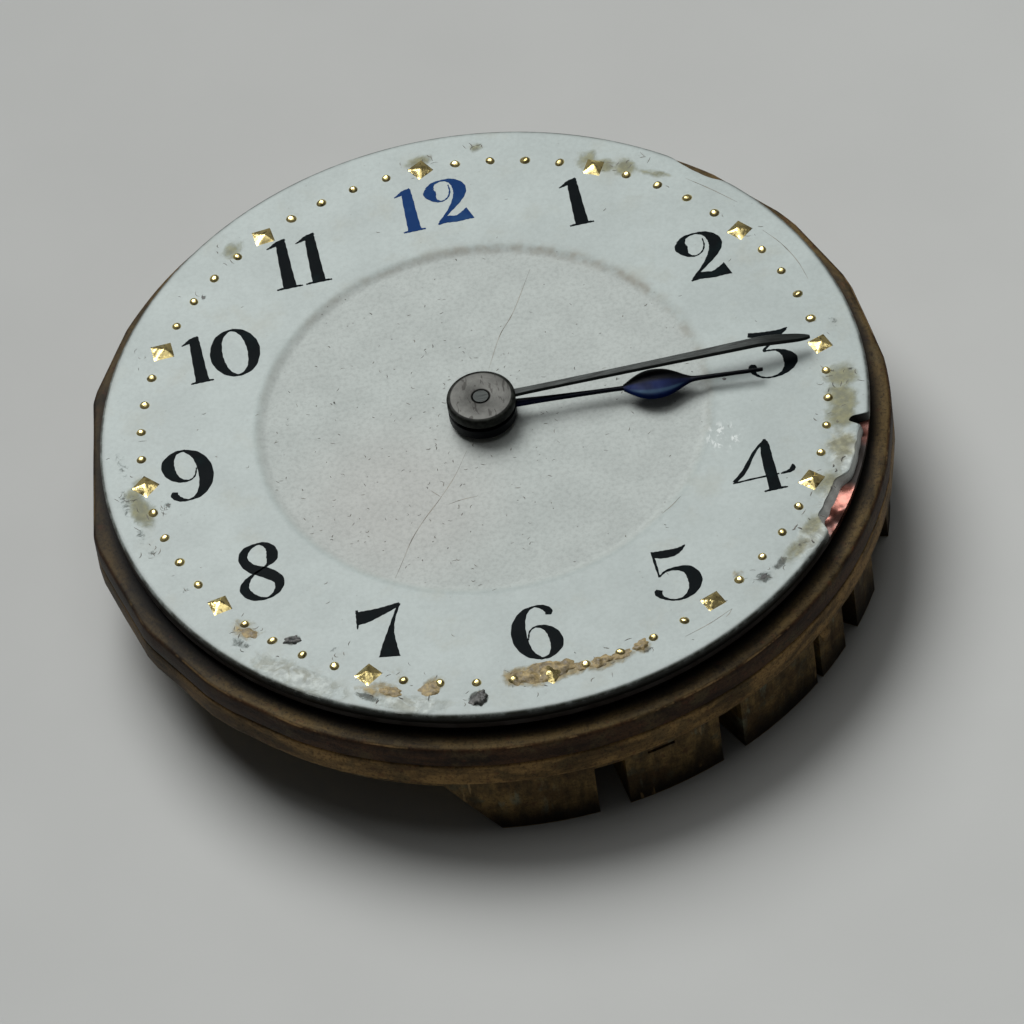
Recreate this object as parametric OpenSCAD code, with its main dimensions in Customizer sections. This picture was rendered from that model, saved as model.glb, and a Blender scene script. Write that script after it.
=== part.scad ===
// Bar movement of a small watch, dial side up. Sizes are in millimetres.
// Z is 0 on the outer faces of the bars, where the part rests, and +Z points out of the dial.
// +Y is 12 o'clock and +X is 3 o'clock, where the winding stem runs.
// Clock angles run clockwise from 12 o'clock, seen from the dial side.

/* [Plate and dial] */
// diameter of the main plate's rim
rim_d = 29.4; // [29.2:0.1:31]
// how far the rim stands out past the bars
rim_overhang = 0.4; // [0.2:0.05:0.6]
// height of the rim
rim_height = 2.0; // [1.9:0.05:2.2]
// diameter of the dial
dial_d = 27.9; // [27.6:0.1:28.4]
// thickness of the whole dial
dial_thickness = 0.68; // [0.58:0.02:0.84]
// diameter of the dial's sunk centre
sunk_d = 16.6; // [15:0.2:18]
// how deep the dial's centre is sunk
sunk_depth = 0.12; // [0.06:0.02:0.2]
// diameter of the circle that the hour studs and minute dots stand on
marker_circle_d = 24.9; // [24.4:0.1:25.4]
// side of a square hour stud
stud_side = 0.72; // [0.5:0.02:0.9]
// diameter of a minute dot
dot_d = 0.34; // [0.24:0.02:0.44]

/* [Hands] */
// length of the minute hand from the centre to its tip
minute_hand_length = 12.1; // [11:0.1:12.6]
// clock angle of the minute hand at rest
minute_hand_angle = 91.6; // [90:0.2:93]
// length of the hour hand from the centre to its tip
hour_hand_length = 10.13; // [9.4:0.1:10.8]
// clock angle of the hour hand at rest
hour_hand_angle = 95.6; // [94:0.2:97]
// widest part of the hour hand's pear
pear_width = 1.43; // [1.1:0.02:1.6]
// diameter of the polished boss in the middle
boss_d = 2.49; // [2.2:0.05:2.7]

/* [Bars] */
// thickness of a bar over the wheels
bar_thickness = 1.3; // [1.2:0.02:1.34]
// width of a bar's round end over its pivot
bar_end_d = 2.0; // [1.6:0.1:2.2]
// gap left between neighbouring bars
bar_gap = 0.4; // [0.3:0.05:0.5]
// diameter of a bar screw's head
screw_head_d = 1.5; // [1.3:0.05:1.6]
// width of a screw's slot
screw_slot = 0.2; // [0.14:0.02:0.26]
// diameter of a hole jewel
jewel_d = 0.9; // [0.7:0.05:1.0]

/* [Running parts] */
// diameter of the balance's rim
balance_d = 9.2; // [8.6:0.1:9.3]
// number of screws round the balance
balance_screw_count = 14; // [10:2:16]
// turns of the hairspring
hairspring_turns = 4; // [3:1:4]
// turns of the mainspring
mainspring_turns = 6; // [4:1:6]
// diameter of the winding stem
stem_d = 1.2; // [1.1:0.02:1.3]
// how far the stem pulls out to set the hands
stem_pull = 0.8; // [0.6:0.05:0.8]
// clearance all round a turning shaft
running_fit = 0.03; // [0.02:0.01:0.04]

/* [Hidden] */
$fn = 64;
over = 0.1;

// heights of the plate and the bars
z_seat = 2.45;
z_flange = 2.95;
z_rim = z_flange + rim_height;
z_ledge = z_rim + 0.32;
z_floor = 4.6;
z_motion = 3.75;
z_keyless = 3.55;
z_dial = z_ledge + dial_thickness;
z_bar = bar_thickness;
sink = 0.9;
rim_r = rim_d / 2;
bar_r = rim_r - rim_overhang;
dial_r = dial_d / 2;
foot_in = 10.6;

// the going train: teeth, modules and places
barrel_teeth = 70;
centre_teeth = 64;
third_teeth = 60;
fourth_teeth = 70;
centre_leaves = 10;
third_leaves = 8;
fourth_leaves = 8;
escape_leaves = 7;
barrel_module = 0.155;
centre_module = 0.145;
third_module = 0.125;
fourth_module = 0.105;
C = [0, 0];
B = step_from(C, reach(barrel_teeth, centre_leaves, barrel_module), 55);
T = step_from(C, reach(centre_teeth, third_leaves, centre_module), -60);
F = step_from(T, reach(third_teeth, fourth_leaves, third_module), 205.8);
E = step_from(F, reach(fourth_teeth, escape_leaves, fourth_module), 152.7);
escape_r = 2.3;
balance_way = 126.95;
P = step_from(E, escape_r / cos(30), balance_way);
W = step_from(P, 3.0, balance_way);

// the motion work
cannon_teeth = 12;
minute_teeth = 36;
minute_leaves = 10;
hour_teeth = 40;
setting_teeth = 18;
motion_module = 0.125;
hour_module = 0.12;
M = [reach(cannon_teeth, minute_teeth, motion_module), 0];
S = [M[0] + reach(minute_teeth, setting_teeth, motion_module), 0];

// the winding work
z_stem = 2.6;
stem_r = stem_d / 2;
crown_teeth = 27;
ratchet_teeth = 50;
winding_teeth = 20;
K = [8.4, 0];
winding_module = 2 * norm(K - B) / (crown_teeth + ratchet_teeth);
crown_r = crown_teeth * winding_module / 2;
ratchet_r = ratchet_teeth * winding_module / 2;
z_winding = 0.4;
winding_thick = 0.45;
clutch_travel = stem_pull * 0.875;
stem_end = bar_r - 0.05;
stem_bore_end = rim_r + 0.6;
groove_x = 9.25;
lever_pin_x = 11.75;
lever_pivot = [lever_pin_x + stem_pull / 2, -2.9];
yoke_pivot = [groove_x, -3.5];

// phases that put meshing teeth into gaps
crown_phase = 180 / crown_teeth;
ratchet_phase = mate_phase(crown_phase, crown_teeth, ratchet_teeth, aim(K, B));
minute_phase = mate_phase(0, cannon_teeth, minute_teeth, 0);
setting_phase = mate_phase(minute_phase, minute_teeth, setting_teeth, 0);
click_gap = round((55 - ratchet_phase) * ratchet_teeth / 360 - 0.5) + 0.5;
click_way = ratchet_phase + click_gap * 360 / ratchet_teeth;
click_pivot = step_from(B, 5.75, click_way + 20);
click_lift = 11;
pocket_centre = step_from(B, 5.35, click_way + 10);

function at_clock(r, a) = [r * sin(a), r * cos(a)];
function aim(a, b) = atan2(b[1] - a[1], b[0] - a[0]);
function step_from(p, r, a) = [p[0] + r * cos(a), p[1] + r * sin(a)];
function reach(n1, n2, m) = (n1 + n2) * m / 2;
function mate_phase(phase, n1, n2, way) = way + 180 - (phase - way) * n1 / n2 + 180 / n2;

// outline of a toothed wheel: share is how much of the pitch a tooth's root fills
function toothed(n, pitch_r, add, ded, share, phase) = [
    for (i = [0 : n - 1], p = [[-ded, -0.5], [0, -0.46], [add, -0.18], [add, 0.18], [0, 0.46], [-ded, 0.5]])
        let (a = phase + (i + p[1] * share) * 360 / n)
        [(pitch_r + p[0]) * cos(a), (pitch_r + p[0]) * sin(a)]
];

// outline of a flat spiral strip
function spiral(r0, r1, turns, thick, start) = concat(
    [for (i = [0 : turns * 30]) let (a = start + i * 12, r = r0 + (r1 - r0) * i / (turns * 30))
        [(r + thick / 2) * cos(a), (r + thick / 2) * sin(a)]],
    [for (k = [0 : turns * 30]) let (i = turns * 30 - k, a = start + i * 12,
        r = r0 + (r1 - r0) * i / (turns * 30)) [(r - thick / 2) * cos(a), (r - thick / 2) * sin(a)]]
);

module at(p, z = 0) translate([p[0], p[1], z]) children();

module rod(p, r, z0, z1) at(p, z0) cylinder(r = r, h = z1 - z0);

module prism(z0, z1) translate([0, 0, z0]) linear_extrude(height = z1 - z0) children();

module wheel_shape(n, m, phase, arms, rim, hub_r, bore_r, arm_w) {
    pitch_r = n * m / 2;
    inner = pitch_r - 1.4 * m - rim;
    difference() {
        polygon(toothed(n, pitch_r, 1.1 * m, 1.4 * m, 0.5, phase));
        circle(r = bore_r);
        difference() {
            circle(r = inner);
            circle(r = hub_r);
            for (i = [0 : arms - 1])
                rotate(i * 360 / arms + 20) translate([0, -arm_w / 2]) square([inner + 0.02, arm_w]);
        }
    }
}

module leaves(n, m, phase, z0, z1)
    prism(z0, z1) polygon(toothed(n, n * m / 2, 0.7 * m, 1.5 * m, 0.4, phase));

// a ring sector between two clock angles
module sector(r_in, r_out, a0, a1, z0, z1) {
    prism(z0, z1) difference() {
        intersection() {
            circle(r = r_out);
            polygon(concat([[0, 0]], [for (i = [0 : 4]) at_clock(r_out * 1.2, a0 + (a1 - a0) * i / 4)]));
        }
        circle(r = r_in);
    }
}

// flat arm from a point on the foot to a round end at the pivot
module arm_shape(foot, pivot, foot_w, end_r) {
    a = aim(foot, pivot);
    polygon([step_from(foot, foot_w, a + 90), step_from(foot, foot_w, a - 90),
        step_from(pivot, end_r, a - 90), step_from(pivot, end_r, a + 90)]);
    translate(pivot) circle(r = end_r);
}

screw_r = 0.4;
head_r = screw_head_d / 2;
head_high = 0.4;
jewel_r = jewel_d / 2;
jewel_high = 0.3;
pivot_r = 0.1;
screw_spots = [[0, 12.6, 0.05], [75, 12.6, 0.05], [122, 12.5, 0.05], [331, 12.2, 0.05],
    [145.3, 12.5, 0.05], [164.3, 12.5, 0.05], [186, 12.4, 0.05], [304, 12.6, 0.5]];
jewel_low = 0.08;
z_third_top = 3.4;
z_fourth_top = 2.65;
z_escape_top = 3.0;
z_balance_top = 3.25;
dial_foot_spots = [60, 318];
pallet_screw_spot = at_clock(9.05, 245.4);
dial_foot_r = 0.35;
dial_screw_long = 2.2;
dial_screw_r = 0.4;
dial_screw_in = 0.1;
dial_foot_gap = 0.4;
dial_foot_reach = rim_r - dial_screw_in - dial_screw_long - dial_foot_gap;
z_dial_screw = z_flange + 1.0;

// what a bar loses to its screw, and to a jewel at its pivot
module screw_bore(spot) {
    p = at_clock(spot[1], spot[0]);
    rod(p, head_r + 0.05, -over, spot[2] + head_high);
    rod(p, screw_r, -over, z_seat + over);
}

module jewel_bore(p, z = 0) rod(p, jewel_r, z - over, z_seat);

module cock(a0, a1, foot_angle, foot_w, pivot, spot) {
    difference() {
        union() {
            sector(foot_in, bar_r, a0, a1, 0, z_seat);
            prism(0, z_bar) arm_shape(at_clock(11.4, foot_angle), pivot, foot_w, bar_end_d / 2);
        }
        screw_bore(spot);
    }
}

// a screw with its head at the bottom
module slotted_screw(p, z, r_head, high, r_shank, length) {
    difference() {
        union() {
            rod(p, r_head, z, z + high);
            rod(p, r_shank, z, z + high + length);
        }
        at(p, z - over) translate([-r_head * 1.2, -screw_slot / 2, 0])
            cube([r_head * 2.4, screw_slot, over + high * 0.5]);
    }
}

// from a dial foot, out through the rim
module dial_screw_place(a) rotate(90 - a) translate([dial_foot_reach, 0, z_dial_screw]) rotate([0, 90, 0])
    children();

// anything built along Z is laid along the stem by this
module along_stem(x) translate([x, 0, z_stem]) rotate([0, 90, 0]) children();

module main_plate() color("darkgoldenrod") {
    difference() {
        union() {
            rotate_extrude($fn = 96) polygon([[0, z_seat], [bar_r, z_seat], [bar_r, z_flange],
                [rim_r - 0.12, z_flange], [rim_r, z_flange + 0.12], [rim_r, z_rim - 1.02],
                [rim_r - 0.07, z_rim - 0.96], [rim_r, z_rim - 0.9], [rim_r, z_rim - 0.1],
                [rim_r - 0.1, z_rim], [dial_r - 0.55, z_rim], [dial_r - 0.55, z_ledge],
                [dial_r - 1.35, z_ledge], [dial_r - 1.35, z_floor], [0, z_floor]]);
            along_stem(7.0) cylinder(r = 0.6, h = 0.55);
        }
        rod(C, 5.0, 2, 3.35);
        rod(B, 5.85, 1.5, 3.0);
        rod(T, 0.85, 2, z_third_top);
        rod(F, 4.0, 2, z_fourth_top);
        rod(E, 2.55, 2, z_escape_top);
        rod(P, 1.8, 2, z_escape_top);
        rod(W, 1.65, 2, z_balance_top);
        at(P, 2) rotate(balance_way) translate([0, -1, 0]) cube([3, 2, z_escape_top - 2]);
        rod(C, 0.29 + running_fit, 3, 4);
        rod(C, 2.8, z_motion, z_floor + over);
        rod(M, 2.6, z_motion, z_floor + over);
        prism(z_keyless, z_floor + over) intersection() {
            circle(r = 12.55);
            translate([5.3, -6]) square([8, 8.2]);
        }
        translate([10.1, -2.05, 2]) cube([1.4, 4.1, 3]);
        translate([7.55, -1.6, 2]) cube([2.6, 3.2, 3]);
        along_stem(6.5) cylinder(r = 0.28 + running_fit, h = 1.5);
        along_stem(11.3) cylinder(r = stem_r + running_fit, h = stem_bore_end - 11.3);
        translate([11.45, -0.86, 2]) cube([stem_pull + 0.6, 0.6, 1.8]);
        rod(lever_pivot, 0.35, 2, 4);
        prism(z_keyless, z_ledge + over) {
            translate(lever_pivot) circle(r = 0.82);
            arm_shape(lever_pivot, [lever_pin_x, -0.58], 0.82, 0.4);
            arm_shape(lever_pivot, [lever_pin_x + stem_pull, -0.58], 0.82, 0.4);
            arm_shape([lever_pin_x, -0.58], [lever_pin_x + stem_pull, -0.58], 0.4, 0.4);
        }
        rod(B, 0.6 + running_fit, 2.5, 3.65);
        rod(T, jewel_r, 3, z_third_top + jewel_high);
        rod(F, jewel_r, 2.5, z_fourth_top + jewel_high);
        rod(E, jewel_r, 2.5, z_escape_top + jewel_high);
        rod(P, jewel_r, 2.5, z_escape_top + jewel_high);
        rod(W, jewel_r, 2.5, z_balance_top + jewel_high);
        for (p = [T, F, E, P, W]) rod(p, 0.25, 2.5, z_floor + over);
        for (s = screw_spots) rod(at_clock(s[1], s[0]), screw_r, 2, 3.95);
        for (a = dial_foot_spots) {
            rod(at_clock(dial_foot_reach, a), dial_foot_r + 0.02, 2.6, z_ledge);
            dial_screw_place(a) cylinder(r = dial_screw_r, h = 4);
        }
        rod(pallet_screw_spot, 0.22, 2, 3.4);
        rod([8.2, -5.2], 0.3, 3, 4);
        rod([6.9, -4.6], 0.25, 3, 4);
    }
    rod(M, 0.3, z_motion, 4.66);
    rod(S, 0.3, z_keyless, 4.16);
    rod(yoke_pivot, 0.33, z_keyless, 3.95);
}

module dial_enamel() color("white")
    rotate_extrude($fn = 96) polygon([[0.97, z_ledge + 0.26], [dial_r - 0.02, z_ledge + 0.26],
        [dial_r, z_dial - 0.12], [dial_r - 0.12, z_dial], [sunk_d / 2, z_dial],
        [sunk_d / 2 - 0.06, z_dial - sunk_depth], [0.97, z_dial - sunk_depth]]);

module dial_copper() color("peru") {
    prism(z_ledge, z_ledge + 0.26) difference() {
        circle(r = dial_r - 0.04);
        circle(r = 0.97);
    }
    for (a = dial_foot_spots) rod(at_clock(dial_foot_reach, a), dial_foot_r, 2.7, z_ledge + 0.1);
}

module hour_studs() color("gold")
    for (i = [0 : 11]) rotate(-i * 30) translate([0, marker_circle_d / 2, z_dial]) rotate(45)
        cylinder(r1 = stud_side * 0.7071, r2 = 0, h = 0.34, $fn = 4);

module minute_dots() color("gold")
    for (i = [0 : 59]) if (i % 5 != 0) rotate(-i * 6) translate([0, marker_circle_d / 2, z_dial])
        rotate_extrude($fn = 32) intersection() {
            circle(r = dot_d / 2);
            square(dot_d);
        }

z_hour_hand = z_dial + 0.4;
z_minute_hand = z_dial + 0.82;
z_boss = z_dial + 0.67;
z_boss_top = z_dial + 1.05;
boss_r = boss_d / 2;

module minute_hand() color("dimgray") {
    l = minute_hand_length;
    difference() {
        union() {
            at(C, z_boss) rotate_extrude() polygon([[0, 0], [boss_r - 0.12, 0], [boss_r, 0.12],
                [boss_r, 0.26], [boss_r - 0.19, 0.38], [0, 0.38]]);
            prism(z_minute_hand, z_minute_hand + 0.12) rotate(90 - minute_hand_angle)
                polygon([[0.5, -0.13], [2, -0.14], [l - 1.6, -0.19], [l - 0.4, -0.13], [l, -0.02],
                    [l, 0.02], [l - 0.4, 0.13], [l - 1.6, 0.19], [2, 0.14], [0.5, 0.13]]);
        }
        rod(C, 0.28, z_boss - over, z_boss_top + over);
    }
}

module hour_hand() color("midnightblue") {
    l = hour_hand_length;
    w = pear_width / 2;
    difference() {
        union() {
            rod(C, 1.15, z_dial + 0.12, z_dial + 0.5);
            prism(z_hour_hand, z_hour_hand + 0.1) rotate(90 - hour_hand_angle) {
                polygon([[0.5, -0.11], [5.0, -0.1], [5.2, -0.2], [5.6, -w * 0.75], [6.1, -w],
                    [6.6, -w * 0.93], [7.1, -w * 0.6], [7.5, -0.22], [7.7, -0.1], [l, -0.08],
                    [l, 0.08], [7.7, 0.1], [7.5, 0.22], [7.1, w * 0.6], [6.6, w * 0.93], [6.1, w],
                    [5.6, w * 0.75], [5.2, 0.2], [5.0, 0.1], [0.5, 0.11]]);
                translate([l - 0.3, 0]) circle(r = 0.2);
            }
        }
        rod(C, 0.85, z_dial, z_dial + 1);
    }
}

module cannon_pinion() color("silver") difference() {
    union() {
        leaves(cannon_teeth, motion_module, 0, 3.8, 4.2);
        rod(C, 0.55, z_motion + 0.02, z_boss);
        rod(C, 0.28, z_boss - over, z_boss_top);
    }
    rod(C, 0.29, 3, 4.95);
}

module hour_wheel() color("goldenrod") difference() {
    union() {
        prism(4.25, 4.5) polygon(toothed(hour_teeth, hour_teeth * hour_module / 2, 1.1 * hour_module,
            1.4 * hour_module, 0.5, 180 / hour_teeth));
        rod(C, 0.85, 4.25, z_dial + 0.52);
    }
    rod(C, 0.55 + running_fit, 4, z_dial + 1);
}

module minute_wheel() color("goldenrod") at(M) prism(3.85, 4.1)
    wheel_shape(minute_teeth, motion_module, minute_phase, 4, 0.35, 0.8, 0.45, 0.4);

module minute_wheel_pinion() color("silver") at(M) difference() {
    union() {
        leaves(minute_leaves, hour_module, 180, 4.12, 4.6);
        rod(C, 0.45, 3.85, 4.12);
    }
    rod(C, 0.3 + running_fit, 3, 5);
}

module setting_wheel() color("silver") at(S) prism(3.8, 4.1) difference() {
    polygon(toothed(setting_teeth, setting_teeth * motion_module / 2, 1.1 * motion_module,
        1.4 * motion_module, 0.5, setting_phase));
    circle(r = 0.3 + running_fit);
}

square_half = stem_r * 0.69;

module winding_stem() color("silver") difference() {
    union() {
        along_stem(6.6) cylinder(r = 0.28, h = 1.4);
        translate([7.9, -square_half, z_stem - square_half])
            cube([2.4, square_half * 2, square_half * 2]);
        along_stem(10.2) cylinder(r = stem_r, h = lever_pin_x - 0.25 - 10.2);
        along_stem(11.2) cylinder(r = 0.32, h = 1.3);
        along_stem(lever_pin_x + 0.25) cylinder(r = stem_r, h = stem_end - lever_pin_x - 0.25);
    }
    along_stem(stem_end - 1) cylinder(r = 0.3, h = 2);
}

module dogs(r_in, r_out, count, width, phase, z0, z1)
    prism(z0, z1) for (i = [0 : count - 1]) rotate(phase + i * 360 / count) intersection() {
        difference() {
            circle(r = r_out);
            circle(r = r_in);
        }
        polygon([[0, 0], [2 * cos(width / 2), -2 * sin(width / 2)],
            [2 * cos(width / 2), 2 * sin(width / 2)]]);
    }

module winding_pinion() color("silver") along_stem(0) {
    difference() {
        union() {
            prism(10.7, 11.4) polygon(toothed(winding_teeth, 1.7, 0.25, 0.27, 0.36, 0));
            rod(C, 1.42, 10.45, 11.4);
        }
        rod(C, stem_r + running_fit, 10, 12);
    }
    dogs(0.8, 1.35, 8, 19, 22.5, 10.2, 10.45);
}

module sliding_clutch() color("silver") along_stem(0) {
    difference() {
        union() {
            rod(C, 1.4, 8.55, 10.15);
            rod(C, 0.95, 8.5, 10.1);
        }
        translate([-square_half - running_fit, -square_half - running_fit, 8])
            cube([2 * (square_half + running_fit), 2 * (square_half + running_fit), 3]);
        difference() {
            rod(C, 2, groove_x - 0.3, groove_x + 0.3);
            rod(C, 0.95, groove_x - 0.4, groove_x + 0.4);
        }
    }
    dogs(0.8, 1.35, 8, 19, 0, 10.15, 10.4);
    dogs(0.95, 1.38, 14, 11, 0, 8.3, 8.55);
}

module setting_lever() color("silver") difference() {
    union() {
        prism(3.6, 3.85) {
            arm_shape(lever_pivot, [lever_pin_x, -0.58], 0.45, 0.28);
            arm_shape(lever_pivot, [10.7, -4.1], 0.45, 0.25);
            translate(lever_pivot) circle(r = 0.7);
        }
        rod([lever_pin_x, -0.58], 0.2, 2.15, 3.7);
    }
    rod(lever_pivot, 0.35 + running_fit, 3, 4);
}

module setting_lever_screw() color("silver") difference() {
    union() {
        rod(lever_pivot, 0.35, 2.55, 3.9);
        rod(lever_pivot, 0.6, 3.87, 4.15);
    }
    at(lever_pivot, 4.02) translate([-1, -screw_slot / 2, 0]) cube([2, screw_slot, 1]);
}

module yoke() color("silver") prism(3.6, 3.85) difference() {
    union() {
        translate([groove_x - 0.17, -3.5]) square([0.34, 3.0]);
        arm_shape(yoke_pivot, [groove_x + 1.2, -3.2], 0.45, 0.25);
        translate(yoke_pivot) circle(r = 0.7);
    }
    translate(yoke_pivot) circle(r = 0.33 + running_fit);
}

module yoke_spring() color("silver") {
    prism(3.6, 3.8) {
        translate([6.9, -4.6]) circle(r = 0.5);
        polygon([[6.9, -4.2], [7.5, -3.1], [8.3, -2.2], [8.95, -1.9], [9.02, -2.0], [8.4, -2.32],
            [7.62, -3.2], [7.1, -4.3]]);
    }
    rod([6.9, -4.6], 0.25, 3.1, 3.6);
}

module setting_lever_spring() color("silver") {
    prism(3.6, 3.85) {
        translate([8.2, -5.2]) circle(r = 0.65);
        polygon([[8.2, -5.0], [10.4, -4.75], [10.7, -4.6], [10.75, -4.72], [10.4, -4.9], [8.2, -5.3]]);
    }
    rod([8.2, -5.2], 0.3, 3.1, 3.6);
}

barrel_pitch = barrel_teeth * barrel_module / 2;

module barrel_drum() color("goldenrod") at(B) difference() {
    union() {
        prism(2.45, 2.85) polygon(toothed(barrel_teeth, barrel_pitch, 1.1 * barrel_module,
            1.4 * barrel_module, 0.5, aim(B, C)));
        rod(C, 5.1, 1.45, 2.5);
    }
    rod(C, 4.8, 1, 2.6);
    rod(C, 0.6 + running_fit, 1, 3);
}

module barrel_cover() color("goldenrod") at(B) difference() {
    rod(C, 4.8, 1.45, 1.72);
    rod(C, 0.6 + running_fit, 1, 3);
}

module barrel_arbor() color("silver") at(B) difference() {
    union() {
        rod(C, 1.25, 1.78, 2.55);
        rod(C, 0.6, z_winding + winding_thick, 3.6);
        prism(z_winding, sink) square(0.9, center = true);
    }
    rod(C, 0.28, 0, 1.3);
}

mainspring_r0 = 1.4;
mainspring_r1 = 4.7;
mainspring_thick = 0.1;
echo("mainspring gap mm", (mainspring_r1 - mainspring_r0) / mainspring_turns - mainspring_thick);

module mainspring() color("slategray") at(B) prism(1.8, 2.5)
    polygon(spiral(mainspring_r0, mainspring_r1, mainspring_turns, mainspring_thick, 0));

module ratchet_wheel() color("silver") at(B) prism(z_winding, z_winding + winding_thick) difference() {
    polygon(toothed(ratchet_teeth, ratchet_r, 0.16, 0.2, 0.44, ratchet_phase));
    square(0.92, center = true);
}

module ratchet_screw() color("steelblue") slotted_screw(B, 0.05, 1.2, z_winding - 0.05, 0.28, 0.85);

module crown_wheel() color("silver") at(K) prism(z_winding, z_winding + winding_thick) difference() {
    polygon(toothed(crown_teeth, crown_r, 0.16, 0.22, 0.42, crown_phase));
    circle(r = 0.9 + running_fit);
}

module crown_wheel_core() color("silver") at(K) difference() {
    rod(C, 0.9, z_winding - 0.02, sink);
    rod(C, screw_r, 0, 1);
}

module crown_wheel_screw() color("steelblue")
    slotted_screw(K, 0.05, 1.15, z_winding - 0.07, screw_r, 0.72);

module click() color("silver") at(click_pivot) prism(z_winding, z_winding + winding_thick) rotate(click_lift)
    difference() {
        tip = step_from(B, ratchet_r - 0.12, click_way) - click_pivot;
        a = aim([0, 0], tip);
        union() {
            circle(r = 0.55);
            polygon([step_from([0, 0], 0.5, a + 90), step_from([0, 0], 0.5, a - 90),
                step_from(tip * 0.4, 0.2, a - 90), step_from(tip * 0.66, 0.16, a + 90),
                step_from(tip * 0.86, 0.13, a + 90), step_from(tip, 0.03, a - 90),
                step_from(tip, 0.06, a + 90), step_from(tip * 0.8, 0.34, a + 90)]);
        }
        circle(r = 0.28 + running_fit);
    }

module click_spring() color("silver") {
    spot = step_from(pocket_centre, 1.5, click_way - 25);
    tip = step_from(pocket_centre, 0.42, click_way - 40);
    prism(z_winding, z_winding + 0.3) arm_shape(spot, tip, 0.1, 0.07);
    rod(spot, 0.25, z_winding, sink);
}

module centre_wheel() color("goldenrod") prism(2.95, 3.2)
    wheel_shape(centre_teeth, centre_module, aim(C, T), 4, 0.45, 0.95, 0.5, 0.5);

module centre_pinion() color("silver") {
    leaves(centre_leaves, barrel_module, aim(C, B) + 18, 1.6, 2.9);
    rod(C, 0.5, 2.9, 3.2);
    rod(C, 0.29, 3.2, 4.9);
    rod(C, 0.25, 0.12, 1.6);
}

module third_wheel() color("goldenrod") at(T) prism(1.6, 1.8)
    wheel_shape(third_teeth, third_module, aim(T, F), 4, 0.35, 0.75, 0.4, 0.4);

module third_pinion() color("silver") at(T) {
    leaves(third_leaves, centre_module, aim(T, C) + 22.5, 2.85, 3.3);
    rod(C, 0.3, 1.8, 2.85);
    rod(C, 0.4, 1.55, 1.8);
    rod(C, 0.25, 0.42, 1.55);
    rod(C, pivot_r, 0.12, 0.42);
    rod(C, pivot_r, 3.3, 3.68);
}

module fourth_wheel() color("goldenrod") at(F) prism(2.3, 2.5)
    wheel_shape(fourth_teeth, fourth_module, aim(F, E), 4, 0.35, 0.75, 0.35, 0.4);

module fourth_pinion() color("silver") at(F) {
    leaves(fourth_leaves, third_module, aim(F, T) + 22.5, 1.5, 2.1);
    rod(C, 0.35, 2.1, 2.5);
    rod(C, 0.2, 0.42, 1.5);
    rod(C, 0.2, 2.5, 2.6);
    rod(C, pivot_r, 0.12, 0.42);
    rod(C, pivot_r, 2.6, 2.93);
}

escape_teeth = 15;
stone_ways = [aim(E, P) - 30, aim(E, P) + 30];

module escape_wheel() color("goldenrod") at(E) prism(2.65, 2.85) difference() {
    polygon([for (i = [0 : escape_teeth - 1], p = [[1.72, -0.34], [1.72, 0.0], [2.05, -0.13],
        [escape_r - 0.05, -0.24], [escape_r, -0.16], [escape_r - 0.04, -0.02], [1.95, 0.13], [1.72, 0.3]])
        let (a = aim(E, P) + (i + 0.5 + p[1]) * 360 / escape_teeth) [p[0] * cos(a), p[0] * sin(a)]]);
    circle(r = 0.25);
    difference() {
        circle(r = 1.42);
        circle(r = 0.55);
        for (i = [0 : 3]) rotate(i * 90) translate([0, -0.14]) square([1.45, 0.28]);
    }
}

module escape_pinion() color("silver") at(E) {
    leaves(escape_leaves, fourth_module, aim(E, F) + 180 / escape_leaves, 2.2, 2.6);
    rod(C, 0.25, 2.6, 2.9);
    rod(C, 0.18, 0.42, 2.2);
    rod(C, pivot_r, 0.12, 0.42);
    rod(C, pivot_r, 2.9, 3.28);
}

module stone_shape() for (a = stone_ways) translate(E) rotate(a) translate([escape_r - 0.03, -0.14])
    square([0.72, 0.28]);

module pallet_lever() color("silver") prism(2.65, 2.85) difference() {
    union() {
        translate(P) circle(r = 0.5);
        for (a = stone_ways) arm_shape(P, step_from(E, escape_r + 0.48, a), 0.35, 0.36);
        translate(P) rotate(balance_way) {
            translate([0, -0.16]) square([1.85, 0.32]);
            translate([1.75, -0.45]) square([0.25, 0.9]);
            translate([1.9, -0.45]) square([0.5, 0.32]);
            translate([1.9, 0.13]) square([0.5, 0.32]);
        }
    }
    stone_shape();
    translate(E) circle(r = escape_r + 0.1);
    translate(P) circle(r = 0.2);
}

module pallet_arbor() color("silver") at(P) {
    rod(C, 0.2, 2.48, 2.95);
    rod(C, pivot_r, 2.2, 2.48);
    rod(C, pivot_r, 2.95, 3.28);
}

module pallet_stones() color("crimson") prism(2.62, 2.88) stone_shape();

module pallet_cock() color("goldenrod") difference() {
    prism(2.15, z_seat) arm_shape(at_clock(9.6, 245.4), P, 0.55, 0.75);
    rod(P, jewel_r, 2, 3);
    rod(pallet_screw_spot, 0.22, 2, 3);
    rod(pallet_screw_spot, 0.42, 2, 2.25);
}

module pallet_cock_screw() color("steelblue") slotted_screw(pallet_screw_spot, 2.05, 0.42, 0.2, 0.22, 1.0);

balance_r = balance_d / 2;

module balance_wheel() color("gold") at(W) difference() {
    prism(1.5, 2.0) {
        difference() {
            circle(r = balance_r);
            circle(r = balance_r - 0.45);
        }
        difference() {
            union() {
                circle(r = 0.75);
                translate([-balance_r + 0.2, -0.3]) square([2 * balance_r - 0.4, 0.6]);
            }
            circle(r = 0.35);
        }
    }
    for (i = [0 : balance_screw_count - 1]) rotate((i + 0.5) * 360 / balance_screw_count)
        translate([balance_r - 0.3, 0, 1.75]) rotate([0, 90, 0]) cylinder(r = 0.1, h = 1);
}

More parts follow.
